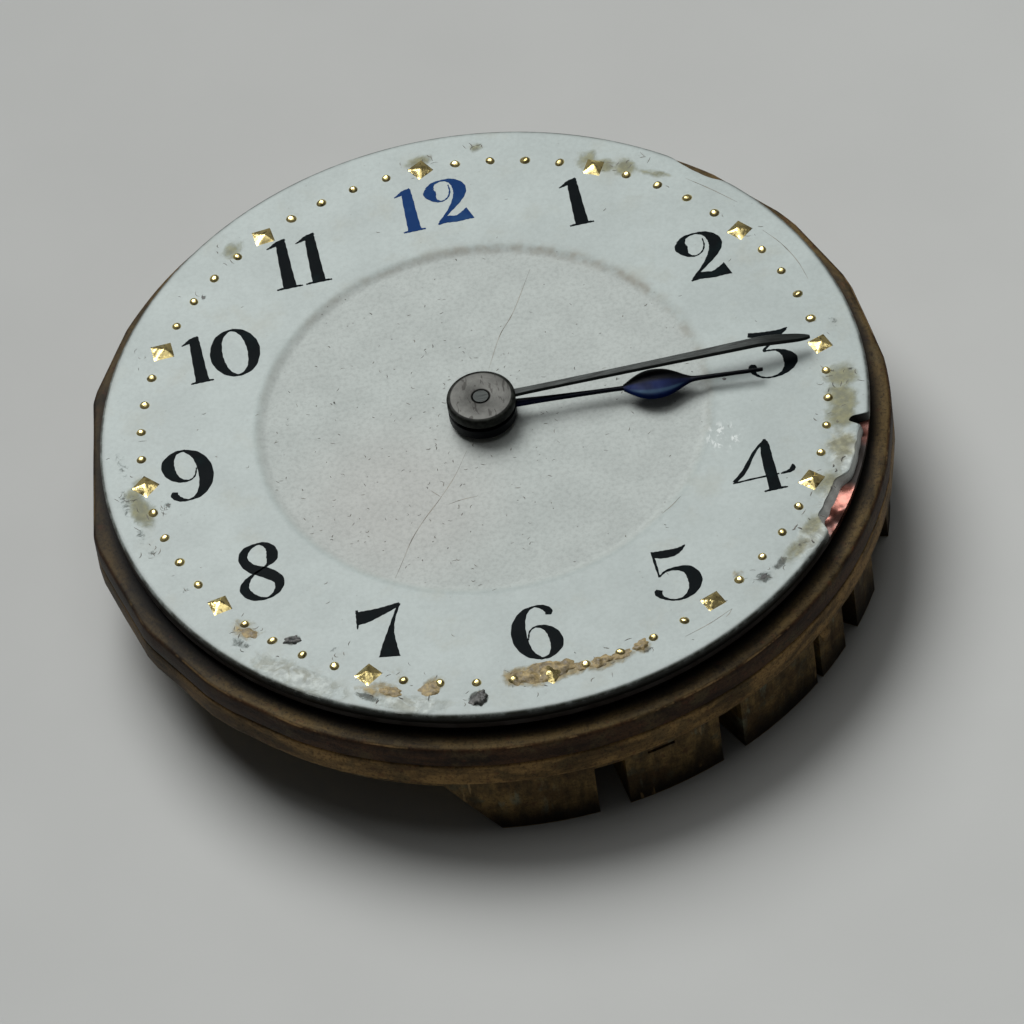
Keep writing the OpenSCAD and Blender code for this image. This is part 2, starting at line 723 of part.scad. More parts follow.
module balance_screws() color("gold") at(W)
    for (i = [0 : balance_screw_count - 1]) rotate((i + 0.5) * 360 / balance_screw_count) {
        translate([balance_r, 0, 1.75]) rotate([0, 90, 0]) cylinder(r = 0.2, h = 0.22);
        translate([balance_r - 0.25, 0, 1.75]) rotate([0, 90, 0]) cylinder(r = 0.1, h = 0.3);
    }

module balance_staff() color("silver") at(W) {
    rod(C, 0.35, 1.48, 2.0);
    rod(C, 0.25, 0.8, 1.48);
    rod(C, 0.28, 2.0, 3.1);
    rod(C, pivot_r, 0.48, 0.8);
    rod(C, pivot_r, 3.1, 3.5);
}

module roller() color("silver") at(W) {
    difference() {
        rod(C, 1.25, 2.9, 3.05);
        rod(C, 0.28, 2, 4);
    }
    rod(step_from([0, 0], 0.85, balance_way + 180), 0.1, 2.62, 2.9);
}

hairspring_r0 = 0.62;
hairspring_r1 = 2.62;
hairspring_thick = 0.08;
echo("hairspring gap mm", (hairspring_r1 - hairspring_r0) / hairspring_turns - hairspring_thick);

module hairspring() color("slateblue") at(W) {
    prism(1.26, 1.44) polygon(spiral(hairspring_r0, hairspring_r1, hairspring_turns, hairspring_thick, -15));
    difference() {
        rod(C, 0.6, 1.26, 1.44);
        rod(C, 0.25, 1, 2);
    }
}

module balance_cock() color("goldenrod") {
    rod(step_from(W, hairspring_r1 + hairspring_thick / 2 + 0.21, -15), 0.2, 1.1, 1.46);
    balance_cock_body();
}

module balance_cock_body() difference() {
    union() {
        sector(foot_in, bar_r, 292, 316, 0.45, z_seat);
        prism(0.45, 1.2) {
            arm_shape(at_clock(11.6, 304), W, 2.0, 1.5);
            arm_shape(W, step_from(W, hairspring_r1 + 0.25, -15), 0.5, 0.3);
        }
    }
    rod(W, balance_r + 0.5, 1.2, 3);
    screw_bore(screw_spots[7]);
    rod(W, jewel_r, 0.3, 1.5);
}

module regulator() color("silver") at(W) {
    prism(0.17, 0.43) difference() {
        union() {
            circle(r = 1.4);
            rotate(106) translate([1.2, -0.16]) square([2.6, 0.32]);
            rotate(286) translate([1.2, -0.3]) square([1.6, 0.6]);
        }
        circle(r = 0.93 + running_fit);
    }
    rotate(286) {
        rod([hairspring_r1 - 0.26, 0], 0.08, 0.4, 1.42);
        rod([hairspring_r1 + 0.1, 0], 0.08, 0.4, 1.42);
    }
}

module cap_setting() color("silver") at(W) difference() {
    rod(C, 0.93, 0.1, 0.45);
    rod(C, jewel_r, 0, 0.4);
    rod(C, 0.2, 0, 1);
}

module barrel_bridge() color("goldenrod") {
    rod(click_pivot, 0.28, z_winding + 0.03, sink + 0.05);
    barrel_bridge_body();
}

module barrel_bridge_body() difference() {
    sector(2.9, bar_r, -10, 136.4, 0, z_seat);
    rod(C, foot_in, z_bar, 3);
    rod(B, 5.85, z_bar, 3);
    rod(B, 4.95, -over, sink);
    rod(K, crown_r + 0.35, -over, sink);
    rod(pocket_centre, 2.0, -over, sink);
    rod(B, 0.6 + running_fit, 0, 3);
    rod(K, screw_r, 0, 3);
    translate([10.1, -2.05, 0.5]) cube([1.4, 4.1, 3]);
    translate([7.5, -1.6, 1.15]) cube([2.65, 3.2, 3]);
    translate([6.5, -0.7, 1.28]) cube([2, 1.4, 3]);
    along_stem(11.3) cylinder(r = stem_r + running_fit, h = stem_bore_end - 11.3);
    translate([11.45, -0.86, 2]) cube([stem_pull + 0.6, 0.6, 1.8]);
    prism(-over, 3) {
        arm_shape(at_clock(11.4, 331), C, 1.75 + bar_gap, bar_end_d / 2 + bar_gap);
        arm_shape(at_clock(11.4, 145.3), T, 1.5 + bar_gap, bar_end_d / 2 + bar_gap);
    }
    for (i = [0 : 2]) screw_bore(screw_spots[i]);
    sector(13.4, bar_r + 1, 126, 130, -over, 3);
    sector(13.4, bar_r + 1, 108.6, 118.8, -over, 3);
}

module centre_cock() color("goldenrod") difference() {
    cock(322, 340, 331, 1.75, C, screw_spots[3]);
    rod(C, 0.25 + running_fit, -over, 3);
    rod(B, ratchet_r + 0.4, -over, z_bar + over);
}

module third_cock() color("goldenrod") difference() {
    cock(137.7, 152.9, 145.3, 1.5, T, screw_spots[4]);
    jewel_bore(T);
}

module fourth_cock() color("goldenrod") difference() {
    cock(156.8, 171.8, 164.3, 1.5, F, screw_spots[5]);
    jewel_bore(F);
    sector(13.2, bar_r + 1, 164.1, 168.3, z_seat - 0.14, z_seat + over);
}

module escape_cock() color("goldenrod") difference() {
    cock(176.4, 198, 186, 1.2, E, screw_spots[6]);
    jewel_bore(E);
    rotate(-198) translate([0, 15.5, 0]) rotate([90, 0, 0]) linear_extrude(height = 7)
        polygon([[-1.95, -0.1], [1.5, -0.1], [1.5, 2.5], [0.03, 2.5]]);
}

module jewel(p, z) at(p, z) difference() {
    cylinder(r = jewel_r, h = jewel_high);
    translate([0, 0, -over]) cylinder(r = pivot_r + running_fit, h = 1);
}

module hole_jewels() color("crimson") {
    for (p = [T, F, E]) jewel(p, jewel_low);
    jewel(T, z_third_top);
    jewel(F, z_fourth_top);
    jewel(E, z_escape_top);
    jewel(P, z_escape_top);
    jewel(P, 2.15);
    jewel(W, z_balance_top);
    jewel(W, 0.47);
    rod(W, jewel_r, 0.12, 0.4);
}

module bar_screws() color("steelblue") for (s = screw_spots)
    slotted_screw(at_clock(s[1], s[0]), s[2], head_r, head_high - 0.02, screw_r, 3.88 - s[2] - head_high);

module dial_screws() color("steelblue") for (a = dial_foot_spots) dial_screw_place(a) difference() {
    translate([0, 0, dial_foot_gap]) cylinder(r = dial_screw_r, h = dial_screw_long);
    translate([-screw_slot / 2, -1, dial_foot_gap + dial_screw_long - 0.2]) cube([screw_slot, 2, 1]);
}

main_plate();
dial_enamel();
dial_copper();
hour_studs();
minute_dots();
minute_hand();
hour_hand();
cannon_pinion();
hour_wheel();
minute_wheel();
minute_wheel_pinion();
setting_wheel();
winding_stem();
winding_pinion();
sliding_clutch();
setting_lever();
setting_lever_screw();
yoke();
yoke_spring();
setting_lever_spring();
barrel_drum();
barrel_cover();
barrel_arbor();
mainspring();
ratchet_wheel();
ratchet_screw();
crown_wheel();
crown_wheel_core();
crown_wheel_screw();
click();
click_spring();
centre_wheel();
centre_pinion();
third_wheel();
third_pinion();
fourth_wheel();
fourth_pinion();
escape_wheel();
escape_pinion();
pallet_lever();
pallet_arbor();
pallet_stones();
pallet_cock();
pallet_cock_screw();
balance_wheel();
balance_screws();
balance_staff();
roller();
hairspring();
balance_cock();
regulator();
cap_setting();
barrel_bridge();
centre_cock();
third_cock();
fourth_cock();
escape_cock();
hole_jewels();
bar_screws();
dial_screws();
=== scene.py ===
"""Looks of a small bar movement lying dial side up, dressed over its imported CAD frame.

Shape functions work in millimetres and make_piece turns them into metres.
+Y is 12 o'clock, +X is 3 o'clock, and clock angles run clockwise from 12.
"""

import math

import bmesh
import bpy
import numpy as np
from mathutils import Matrix, Vector


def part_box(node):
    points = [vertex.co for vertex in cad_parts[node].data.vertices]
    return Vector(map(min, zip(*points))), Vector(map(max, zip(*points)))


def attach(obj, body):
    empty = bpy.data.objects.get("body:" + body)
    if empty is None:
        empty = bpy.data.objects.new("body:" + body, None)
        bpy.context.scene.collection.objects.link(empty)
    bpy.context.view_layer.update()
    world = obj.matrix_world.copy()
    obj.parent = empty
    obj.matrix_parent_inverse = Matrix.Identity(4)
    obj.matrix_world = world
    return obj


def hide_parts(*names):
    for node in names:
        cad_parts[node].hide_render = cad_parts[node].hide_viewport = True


bl_info = {
    "name": "Bar movement",
    "version": (1, 0, 0),
    "blender": (4, 5, 0),
    "location": "3D View > Sidebar > Movement",
    "description": "Builds the looks of a small bar movement over its CAD frame",
    "category": "Object",
}

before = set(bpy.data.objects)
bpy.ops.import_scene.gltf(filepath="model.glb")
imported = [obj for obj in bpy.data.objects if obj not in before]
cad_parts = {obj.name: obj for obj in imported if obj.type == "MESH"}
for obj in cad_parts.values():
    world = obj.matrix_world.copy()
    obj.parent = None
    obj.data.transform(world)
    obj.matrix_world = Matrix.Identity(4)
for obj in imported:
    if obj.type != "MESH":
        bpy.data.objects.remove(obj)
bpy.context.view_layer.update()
MM = 0.001
TURN = 2 * math.pi

# Thicknesses and steps of the CAD model that its boxes don't give, in millimetres
COPPER_THICK = 0.26
PLATE_THICK = 2.32
RIM_STEP = 0.32
BAR_INSET = 0.4
CAD_DOT_R = 0.17


def node_box(node):
    """Lowest and highest corner of a CAD node at rest, in millimetres."""
    low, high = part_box(node)
    return np.array(low) / MM, np.array(high) / MM


DIAL_LOW, DIAL_HIGH = node_box("dial_enamel")
Z_DIAL = DIAL_HIGH[2]
Z_COPPER = DIAL_LOW[2]
DIAL_R = DIAL_HIGH[0]
RIM_R = node_box("main_plate")[1][0]
Z_LEDGE = node_box("dial_copper")[1][2] - COPPER_THICK
Z_FLANGE = Z_LEDGE - PLATE_THICK
Z_RIM = Z_LEDGE - RIM_STEP
BAR_R = RIM_R - BAR_INSET
MARKER_R = (node_box("minute_dots")[1][0] - CAD_DOT_R) / math.cos(math.radians(6))


def length_prop(name, description, millimetres):
    """A length that a user may change."""
    return bpy.props.FloatProperty(name=name, description=description, default=millimetres * MM,
                                   unit="LENGTH", precision=6)


def angle_prop(name, description, degrees):
    """An angle that a user may change, clockwise from 12."""
    return bpy.props.FloatProperty(name=name, description=description, default=math.radians(degrees),
                                   subtype="ANGLE", unit="ROTATION")


def colour_prop(name, description, value):
    """A colour that a user may change."""
    return bpy.props.FloatVectorProperty(name=name, description=description, default=value,
                                         subtype="COLOR", min=0, max=1)


def power_prop(name, description, watts):
    """A lamp's power that a user may change."""
    return bpy.props.FloatProperty(name=name, description=description, default=watts, unit="POWER")


class DialSizes(bpy.types.PropertyGroup):
    """Sizes of what the dial carries."""

    hole: length_prop("Centre hole", "Radius of the hole in the middle of the dial", 0.97)
    sunk: length_prop("Sunk centre", "Radius of the dial's sunk centre", 8.3)
    sunk_depth: length_prop("Sunk depth", "How deep the dial's centre is sunk", 0.12)
    print_height: length_prop("Numeral relief", "How far the numerals stand above the enamel", 0.007)
    stud: length_prop("Hour stud", "Side of a square hour stud", 0.72)
    stud_height: length_prop("Stud height", "Height of an hour stud's point", 0.15)
    dot: length_prop("Minute dot", "Radius of a minute dot", 0.182)


class DialColours(bpy.types.PropertyGroup):
    """Colours of the dial and of the dirt on it."""

    enamel: colour_prop("Enamel", "Glossy enamel of the hour ring", (0.408, 0.463, 0.446))
    centre: colour_prop("Centre", "Matte enamel of the sunk centre", (0.450, 0.490, 0.467))
    numeral: colour_prop("Numerals", "Black of the painted numerals", (0.002, 0.004, 0.005))
    crack: colour_prop("Cracks", "Soot in the cracks and hair lines", (0.09, 0.085, 0.07))
    twelve: colour_prop("Twelve", "Blue of the painted twelve", (0.008, 0.036, 0.13))
    olive: colour_prop("Verdigris", "Olive dirt round the studs", (0.155, 0.138, 0.040))
    tan: colour_prop("Crust", "Tan crust near 6 and 7", (0.24, 0.18, 0.075))
    soot: colour_prop("Specks", "Dark specks and smears", (0.035, 0.036, 0.03))


class HandSizes(bpy.types.PropertyGroup):
    """Sizes and places of the hands."""

    hour_length: length_prop("Hour hand", "Length of the hour hand from the centre", 10.2)
    hour_at: angle_prop("Hour hand at", "Clock angle of the hour hand", 95.6)
    minute_length: length_prop("Minute hand", "Length of the minute hand from the centre", 12.1)
    minute_at: angle_prop("Minute hand at", "Clock angle of the minute hand", 90.15)
    boss: length_prop("Boss", "Radius of the minute hand's boss", 1.245)
    collet: length_prop("Collet", "Radius of the hour hand's collet", 1.235)


class MetalColours(bpy.types.PropertyGroup):
    """Colours of the metals."""

    gilt: colour_prop("Gilt", "Studs and dots", (0.90, 0.74, 0.32))
    rim: colour_prop("Rim brass", "Bright brass where the plate's edge is worn", (0.36, 0.24, 0.11))
    copper: colour_prop("Copper", "Dial copper bared by the chip", (0.24, 0.085, 0.062))
    bar: colour_prop("Gilt bars", "Gilding of the bars inside the walls", (0.46, 0.325, 0.13))
    wheel: colour_prop("Wheel brass", "Brass of the wheels", (0.55, 0.395, 0.165))
    steel: colour_prop("Steel", "Polished steel", (0.36, 0.36, 0.355))
    hand: colour_prop("Minute hand steel", "Grey-green steel of the minute hand", (0.056, 0.063, 0.060))
    blue: colour_prop("Blued steel", "Blued screws and hour hand", (0.003, 0.022, 0.15))
    jewel: colour_prop("Jewel", "Ruby of the jewels", (0.55, 0.01, 0.05))


class StageLook(bpy.types.PropertyGroup):
    """Floor and light of the studio."""

    floor: colour_prop("Floor", "Pale grey of the floor", (0.445, 0.455, 0.44))
    lamp: power_prop("Main lamp", "Power of the soft lamp behind 12 o'clock", 1.82)
    top: power_prop("Top lamp", "Power of the wide soft lamp overhead", 0.47)
    fill: bpy.props.FloatProperty(
        name="Fill", description="Strength of the even light from all round", default=0.05)


# Shapes


def grid_quads(rows, columns, close_rows=False, close_columns=False):
    """Corner numbers of the faces of a rows by columns grid of points, closed on itself where asked."""
    row, column = np.meshgrid(
        np.arange(rows if close_rows else rows - 1),
        np.arange(columns if close_columns else columns - 1), indexing="ij")
    next_row, next_column = (row + 1) % rows, (column + 1) % columns
    corners = [row * columns + column, row * columns + next_column,
               next_row * columns + next_column, next_row * columns + column]
    return np.stack(corners, -1).reshape(-1, 4)


def join_shapes(shapes):
    """One list of points and one of faces out of several, faces renumbered past the points before them."""
    points, quads, count = [], [], 0
    for shape_points, shape_quads in shapes:
        points.append(shape_points)
        quads.append(shape_quads + count)
        count += len(shape_points)
    return np.vstack(points), np.vstack(quads)


# Points nearer than this, in metres, are merged
SAME_PLACE = 2e-8


def link(name, data):
    """A new object in the scene."""
    thing = bpy.data.objects.new(name, data)
    bpy.context.scene.collection.objects.link(thing)
    return thing


def make_piece(name, shape, body, finish, replaced=(), marks=None, sharp=40):
    """A finished piece: points in millimetres put in metres, doubles merged and faces turned outwards.

    marks holds named values for the points that the finish reads.
    """
    points, quads = shape
    mesh = bpy.data.meshes.new(name)
    mesh.vertices.add(len(points))
    mesh.vertices.foreach_set("co", (np.asarray(points) * MM).astype(np.float32).ravel())
    mesh.loops.add(quads.size)
    mesh.loops.foreach_set("vertex_index", quads.astype(np.int32).ravel())
    mesh.polygons.add(len(quads))
    mesh.polygons.foreach_set("loop_start", np.arange(0, quads.size, 4, dtype=np.int32))
    for mark, values in (marks or {}).items():
        mesh.attributes.new(mark, "FLOAT", "POINT").data.foreach_set("value", values.astype(np.float32))
    mesh.update(calc_edges=True)
    mesh.validate()
    work = bmesh.new()
    work.from_mesh(mesh)
    bmesh.ops.remove_doubles(work, verts=work.verts, dist=SAME_PLACE)
    bmesh.ops.recalc_face_normals(work, faces=work.faces)
    work.to_mesh(mesh)
    work.free()
    mesh.polygons.foreach_set("use_smooth", np.ones(len(mesh.polygons), bool))
    mesh.set_sharp_from_angle(angle=math.radians(sharp))
    mesh.materials.append(finish)
    piece = link(name, mesh)
    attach(piece, body)
    if replaced:
        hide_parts(*replaced)


def smooth_through(points, steps, closed=False):
    """A smooth curve through the given points: Catmull-Rom, a cubic in the step between each two."""
    p = np.asarray(points, float)
    if closed:
        p = np.vstack([p[-1:], p, p[:2]])
    else:
        p = np.vstack([2 * p[0] - p[1], p, 2 * p[-1] - p[-2]])
    t = np.linspace(0, 1, steps, endpoint=False)[:, None, None]
    a, b, c, d = p[:-3], p[1:-2], p[2:-1], p[3:]
    curve = 0.5 * (2 * b + (c - a) * t + (2 * a - 5 * b + 4 * c - d) * t**2
                   + (3 * b - a - 3 * c + d) * t**3)
    curve = curve.transpose(1, 0, 2).reshape(-1, p.shape[1])
    return curve if closed else np.vstack([curve, p[-2:-1]])


def sideways(path, closed=False):
    """Unit vectors across a flat path: its slope turned a quarter turn."""
    slope = (np.roll(path, -1, 0) - np.roll(path, 1, 0)) if closed else np.gradient(path, axis=0)
    slope /= np.linalg.norm(slope, axis=1)[:, None] + 1e-12
    return np.stack([-slope[:, 1], slope[:, 0]], 1)


def carried(path, half, section, closed=False):
    """A section carried along a flat path. Each section point is (share of the half width, height).

    Point = path + sideways * share * half, at the section's height. Open ends close to a point.
    """
    section = np.asarray(section, float)
    if section.ndim == 2:
        section = np.broadcast_to(section, (len(path), *section.shape))
    across = sideways(path, closed)
    flat = path[:, None, :] + across[:, None, :] * (section[:, :, 0] * half[:, None])[:, :, None]
    points = np.concatenate([flat, section[:, :, 1:2]], 2)
    if not closed:
        middle = points.mean(1, keepdims=True)
        first = np.broadcast_to(middle[:1], points[:1].shape)
        last = np.broadcast_to(middle[-1:], points[:1].shape)
        points = np.concatenate([first, points, last])
    rows, columns = points.shape[:2]
    return points.reshape(-1, 3), grid_quads(rows, columns, closed, True)


def turned(profile, angles, closed_profile=False, bulge=None):
    """A profile of (radius, height) points turned round Z: x = r sin a, y = r cos a, a being a clock angle.

    bulge gives what is added to each point's radius, from arrays of radius, height and angle.
    """
    profile = np.asarray(profile, float)
    r = np.repeat(profile[:, :1], len(angles), 1)
    z = np.repeat(profile[:, 1:2], len(angles), 1)
    a = np.broadcast_to(angles, r.shape)
    if bulge is not None:
        r = r + bulge(r, z, a)
    return round_z(r, a, z).reshape(-1, 3), grid_quads(len(profile), len(angles), closed_profile, True)


def hump(value, middle, half, steep=2):
    """1 at the middle, exp(-1) at half either way and 0 beyond: exp(-|(value - middle) / half|^steep)."""
    return np.exp(-((value - middle) / half) ** steep)


def turned_to(x, y, turn, u, v):
    """Flat places u, v turned by an angle and moved to x, y."""
    c, s = math.cos(turn), math.sin(turn)
    return x + u * c - v * s, y + u * s + v * c


def round_z(r, a, z):
    """Points at a radius, a clock angle and a height."""
    return np.stack([r * np.sin(a), r * np.cos(a), z], -1)


def ripple(a, seed, waves, size):
    """A smooth random wave round a circle: a sum of sines of whole numbers of turns with random phases."""
    dice = np.random.default_rng(seed)
    total = np.zeros_like(a)
    for count in waves:
        total += np.sin(a * count + dice.uniform(0, TURN)) * dice.uniform(0.4, 1) / len(waves)
    return total * size


def clumps(x, y, seed, scale):
    """Smooth random values from -1 to 1 over a plane: a sum of sine waves in random directions."""
    dice = np.random.default_rng(seed)
    total = np.zeros_like(x)
    for _ in range(9):
        way, k = dice.uniform(0, TURN), dice.uniform(0.6, 1.7) / scale
        total += np.sin((x * math.cos(way) + y * math.sin(way)) * k + dice.uniform(0, TURN))
    return total / 4


def patches(x, y, spots):
    """Soft spots over the dial, each (x, y, half length, half width, turn in degrees, strength)."""
    total = np.zeros_like(x)
    for px, py, length, width, turn, strength in spots:
        c, s = math.cos(math.radians(turn)), math.sin(math.radians(turn))
        u = ((x - px) * c + (y - py) * s) / length
        v = ((y - py) * c - (x - px) * s) / width
        total = np.maximum(total, strength * np.exp(-(u * u + v * v) ** 1.5 * 0.7))
    return total


# Finishes


def scaled(colour, factor):
    """A colour made darker or lighter, up to white."""
    return tuple(min(1, c * factor) for c in colour)


class Finish:
    """A material put together node by node. Each method adds what it names and gives its output."""

    def __init__(self, name):
        self.material = bpy.data.materials.new(name)
        self.material.use_nodes = True
        self.tree = self.material.node_tree
        self.shader = self.tree.nodes["Principled BSDF"]
        self.places = self.tree.nodes.new("ShaderNodeTexCoord").outputs["Object"]
        self.mm = self.placed()

    def connect(self, value, socket):
        if isinstance(value, bpy.types.NodeSocket):
            self.tree.links.new(value, socket)
        elif value is not None:
            if socket.type == "RGBA" and len(value) == 3:
                value = (*value, 1)
            socket.default_value = value

    def add(self, kind, inputs, output=0, **settings):
        node = self.tree.nodes.new(kind)
        for key, value in settings.items():
            setattr(node, key, value)
        for key, value in inputs.items():
            self.connect(value, node.inputs[key])
        return node.outputs[output]

    def placed(self, stretch=(1, 1, 1), spot=(0, 0, 0)):
        """Object coordinates in millimetres, moved so that spot is the origin, then stretched."""
        scale = tuple(s / MM for s in stretch)
        moved = tuple(-p * s for p, s in zip(spot, stretch))
        return self.add("ShaderNodeMapping", {"Vector": self.places, "Scale": scale, "Location": moved})

    def part(self, axis):
        """One of the object coordinates, in millimetres."""
        return self.add("ShaderNodeSeparateXYZ", {0: self.mm}, output=axis)

    def mark(self, name):
        """Named values of the piece's points."""
        return self.add("ShaderNodeAttribute", {}, output="Fac", attribute_name=name)

    def math(self, operation, a, b=None):
        return self.add("ShaderNodeMath", {0: a, 1: b}, operation=operation)

    def all_of(self, *shares):
        """Product of all shares."""
        total = shares[0]
        for share in shares[1:]:
            total = self.math("MULTIPLY", total, share)
        return total

    def off(self, value, middle):
        """How far a value is from its middle, either way."""
        return self.math("ABSOLUTE", self.math("SUBTRACT", value, middle))

    def away(self):
        """Distance from the Z axis in millimetres."""
        squares = [self.math("POWER", self.part(axis), 2.0) for axis in (0, 1)]
        return self.math("SQRT", self.math("ADD", *squares))

    def wrapped(self, around, up, spot=(0, 0, 0)):
        """Coordinates wrapped round Z: the way round in millimetres at the rim, the height and the radius."""
        parts = self.tree.nodes.new("ShaderNodeSeparateXYZ")
        self.connect(self.placed(spot=spot), parts.inputs[0])
        x, y, z = parts.outputs
        angle = self.math("ARCTAN2", x, self.math("MULTIPLY", y, -1.0))
        radius = self.math("SQRT", self.math("ADD", self.all_of(x, x), self.all_of(y, y)))
        return self.add("ShaderNodeCombineXYZ", {
            0: self.all_of(angle, RIM_R * around), 1: self.all_of(z, up), 2: self.all_of(radius, up)})

    def noise(self, scale, detail=3.0, rough=0.55, where=None, twist=0.0):
        return self.add("ShaderNodeTexNoise", {
            "Vector": where or self.mm, "Scale": scale, "Detail": detail, "Roughness": rough,
            "Distortion": twist})

    def cells(self, scale):
        return self.add("ShaderNodeTexVoronoi", {"Vector": self.mm, "Scale": scale}, output="Distance")

    def step(self, value, low, high, to_low=0.0, to_high=1.0):
        """Smooth step of a value from low to high."""
        return self.add("ShaderNodeMapRange", {
            "Value": value, "From Min": low, "From Max": high, "To Min": to_low, "To Max": to_high},
            interpolation_type="SMOOTHSTEP")

    def between(self, share, none, full):
        """A value that goes from none to full as a share goes from 0 to 1."""
        return self.step(share, 0.0, 1.0, none, full)

    def near(self, spot, radius, soft):
        """1 within a radius of a spot, in millimetres, falling to 0 over the soft distance."""
        away = self.add("ShaderNodeVectorMath", {0: self.mm, 1: spot}, output=1, operation="DISTANCE")
        return self.step(away, radius, radius + soft, 1.0, 0.0)

    def mix(self, share, a, b, blend="MIX"):
        return self.add("ShaderNodeMix", {0: share, 6: a, 7: b}, output=2, data_type="RGBA",
                        blend_type=blend)

    def spotted(self, base, spots, value, low, high, most=1.0):
        """Goes over to the colour of spots by up to most, as a value goes from low to high."""
        return self.mix(self.step(value, low, high, 0.0, most), base, spots)

    def tone(self, value, low, high, colour, dark, light):
        """A colour made darker or lighter as a value goes from low to high."""
        return self.spotted(scaled(colour, dark), scaled(colour, light), value, low, high)

    def shade(self, base, value, low, high, dark, light=1.0):
        """Multiplies a colour by a grey that goes from dark to light as a value goes from low to high."""
        return self.mix(1.0, base, self.spotted((dark,) * 3, (light,) * 3, value, low, high), "MULTIPLY")

    def bump(self, height, depth, normal=None):
        """Relief of the given depth in millimetres."""
        return self.add("ShaderNodeBump", {
            "Height": height, "Distance": depth * MM, "Strength": 1.0, "Normal": normal})

    def surface(self, base, rough, relief=None, **values):
        """Sets the shader's own sockets, an underscore standing for a space."""
        for key, value in {"Base_Color": base, "Roughness": rough, "Normal": relief, **values}.items():
            self.connect(value, self.shader.inputs[key.replace("_", " ")])
        return self.material


def enamel_finish(colours):
    """Cold white glass with a duller mottled centre, soft dirt where the dial's marks are high, and specks.
    Painted shade lies in the crumbs' crevices, on the rounded edge and on the side wall; painted light lies
    on the chip's broken face and in a glare near 4.

    Dirt share = smooth step of (mark + torn noise), so that its outline is ragged and its inside is soft.
    """
    f = Finish("white_enamel")
    fine = f.noise(6.0, 5, 0.72)
    white = f.tone(f.noise(0.45, 5, 0.62), 0.3, 0.7, colours.enamel, 0.93, 1.03)
    white = f.spotted(white, (0.375, 0.40, 0.355), f.noise(0.5, 4, 0.6), 0.52, 0.75, 0.5)
    white = f.shade(white, fine, 0.35, 0.7, 1.02, 0.93)
    grey = f.tone(f.noise(0.7, 4, 0.6), 0.3, 0.7, colours.centre, 0.94, 1.03)
    grey = f.mix(f.all_of(f.near((-3.8, -3.2, Z_DIAL), 1.0, 4.5), 0.3), grey, (0.48, 0.44, 0.41))
    grey = f.shade(grey, fine, 0.4, 0.72, 1.0, 0.82)
    sunk = f.mark("sunk")
    base = f.mix(sunk, white, grey)
    line = f.all_of(f.mark("edge_line"), f.step(f.noise(1.6, 4), 0.35, 0.65), 0.5)
    base = f.mix(line, base, (0.22, 0.17, 0.11))
    torn = f.noise(2.2, 5, 0.68, twist=0.5)
    wisps = f.noise(2.6, 6, 0.75, twist=1.4)
    total = None
    for name, colour, most, tear, low, high, light in (
            ("crumb", (0.50, 0.54, 0.51), 0.8, torn, 0.3, 0.85, 1.25),
            ("tan", colours.tan, 0.85, torn, 0.3, 0.85, 1.7),
            ("olive", colours.olive, 0.68, torn, 0.15, 0.95, 1.5),
            ("soot", colours.soot, 0.8, wisps, 0.5, 0.8, 2.1)):
        amount = f.math("ADD", f.mark(name), f.all_of(f.math("SUBTRACT", tear, 0.5), 1.2))
        share = f.all_of(f.step(amount, low, high), f.step(f.mark(name), 0.03, 0.3))
        varied = f.tone(f.noise(3.4, 4, 0.6), 0.35, 0.68, colour, 0.8, light)
        base = f.mix(f.all_of(share, most), base, varied)
        total = share if total is None else f.math("MAXIMUM", total, share)
    dust = f.all_of(f.step(f.cells(2.6), 0.05, 0.11, 1.0, 0.0), f.step(f.noise(1.1, 3), 0.5, 0.6),
                    f.between(sunk, 0.25, 0.6))
    # Streaks for a painted glare on the enamel near 4 o'clock.
    streaks = f.noise(2.2, 4, 0.7, where=f.placed((1.8, 0.8, 1.0)), twist=0.6)
    for share, colour in (
            # Painted shade: darker grey-olive in the crevices between the crumbs.
            (f.all_of(f.mark("crumb"), f.step(f.noise(1.3, 5, 0.7, twist=0.8), 0.40, 0.54, 0.6, 0.0)),
             (0.22, 0.215, 0.15)),
            (dust, (0.12, 0.11, 0.10)),
            # Painted reflection: pale glare streaks on the enamel near 4 o'clock.
            (f.all_of(f.near((8.15, -3.35, Z_DIAL), 0.3, 0.6), f.step(streaks, 0.5, 0.6), 0.8),
             (0.72, 0.76, 0.74)),
            # Painted shade: a dark line along the enamel's rounded outer edge, broken up by noise.
            (f.all_of(f.mark("edge_shade"), f.step(f.noise(1.8, 5, 0.7), 0.25, 0.6, 0.45, 1.0)),
             (0.035, 0.036, 0.028)),
            # Painted light: the chip's broken face is made paler than the enamel, against its shade.
            (f.all_of(f.mark("broken"), 0.8), (0.80, 0.83, 0.79)),
            # Painted shade: nearly black on the enamel's side wall and in the notch, for the shadow in the
            # gap between dial and rim.
            (f.mark("wall"), (0.006, 0.006, 0.005))):
        base = f.mix(share, base, colour)
    rough = f.between(sunk, 0.3, 0.6)
    for share in (f.mark("slope"), f.step(total, 0.0, 0.4)):
        rough = f.math("MAXIMUM", rough, f.all_of(share, 0.75))
    relief = f.bump(f.noise(0.8, 3), 0.01)
    relief = f.bump(f.all_of(fine, sunk), 0.008, relief)
    relief = f.bump(f.all_of(torn, total), 0.03, relief)
    return f.surface(base, rough, relief, Specular_IOR_Level=0.16)


def paint_finish(name, colour, glaze):
    """Painted enamel with a dull gloss, a little thinner in places."""
    f = Finish(name)
    thin = f.noise(1.1, 3, 0.5)
    base = f.spotted(colour, glaze, thin, 0.5, 0.8)
    return f.surface(base, f.step(thin, 0.3, 0.7, 0.3, 0.4), f.bump(f.noise(3.0, 3), 0.002),
                     Specular_IOR_Level=0.015)


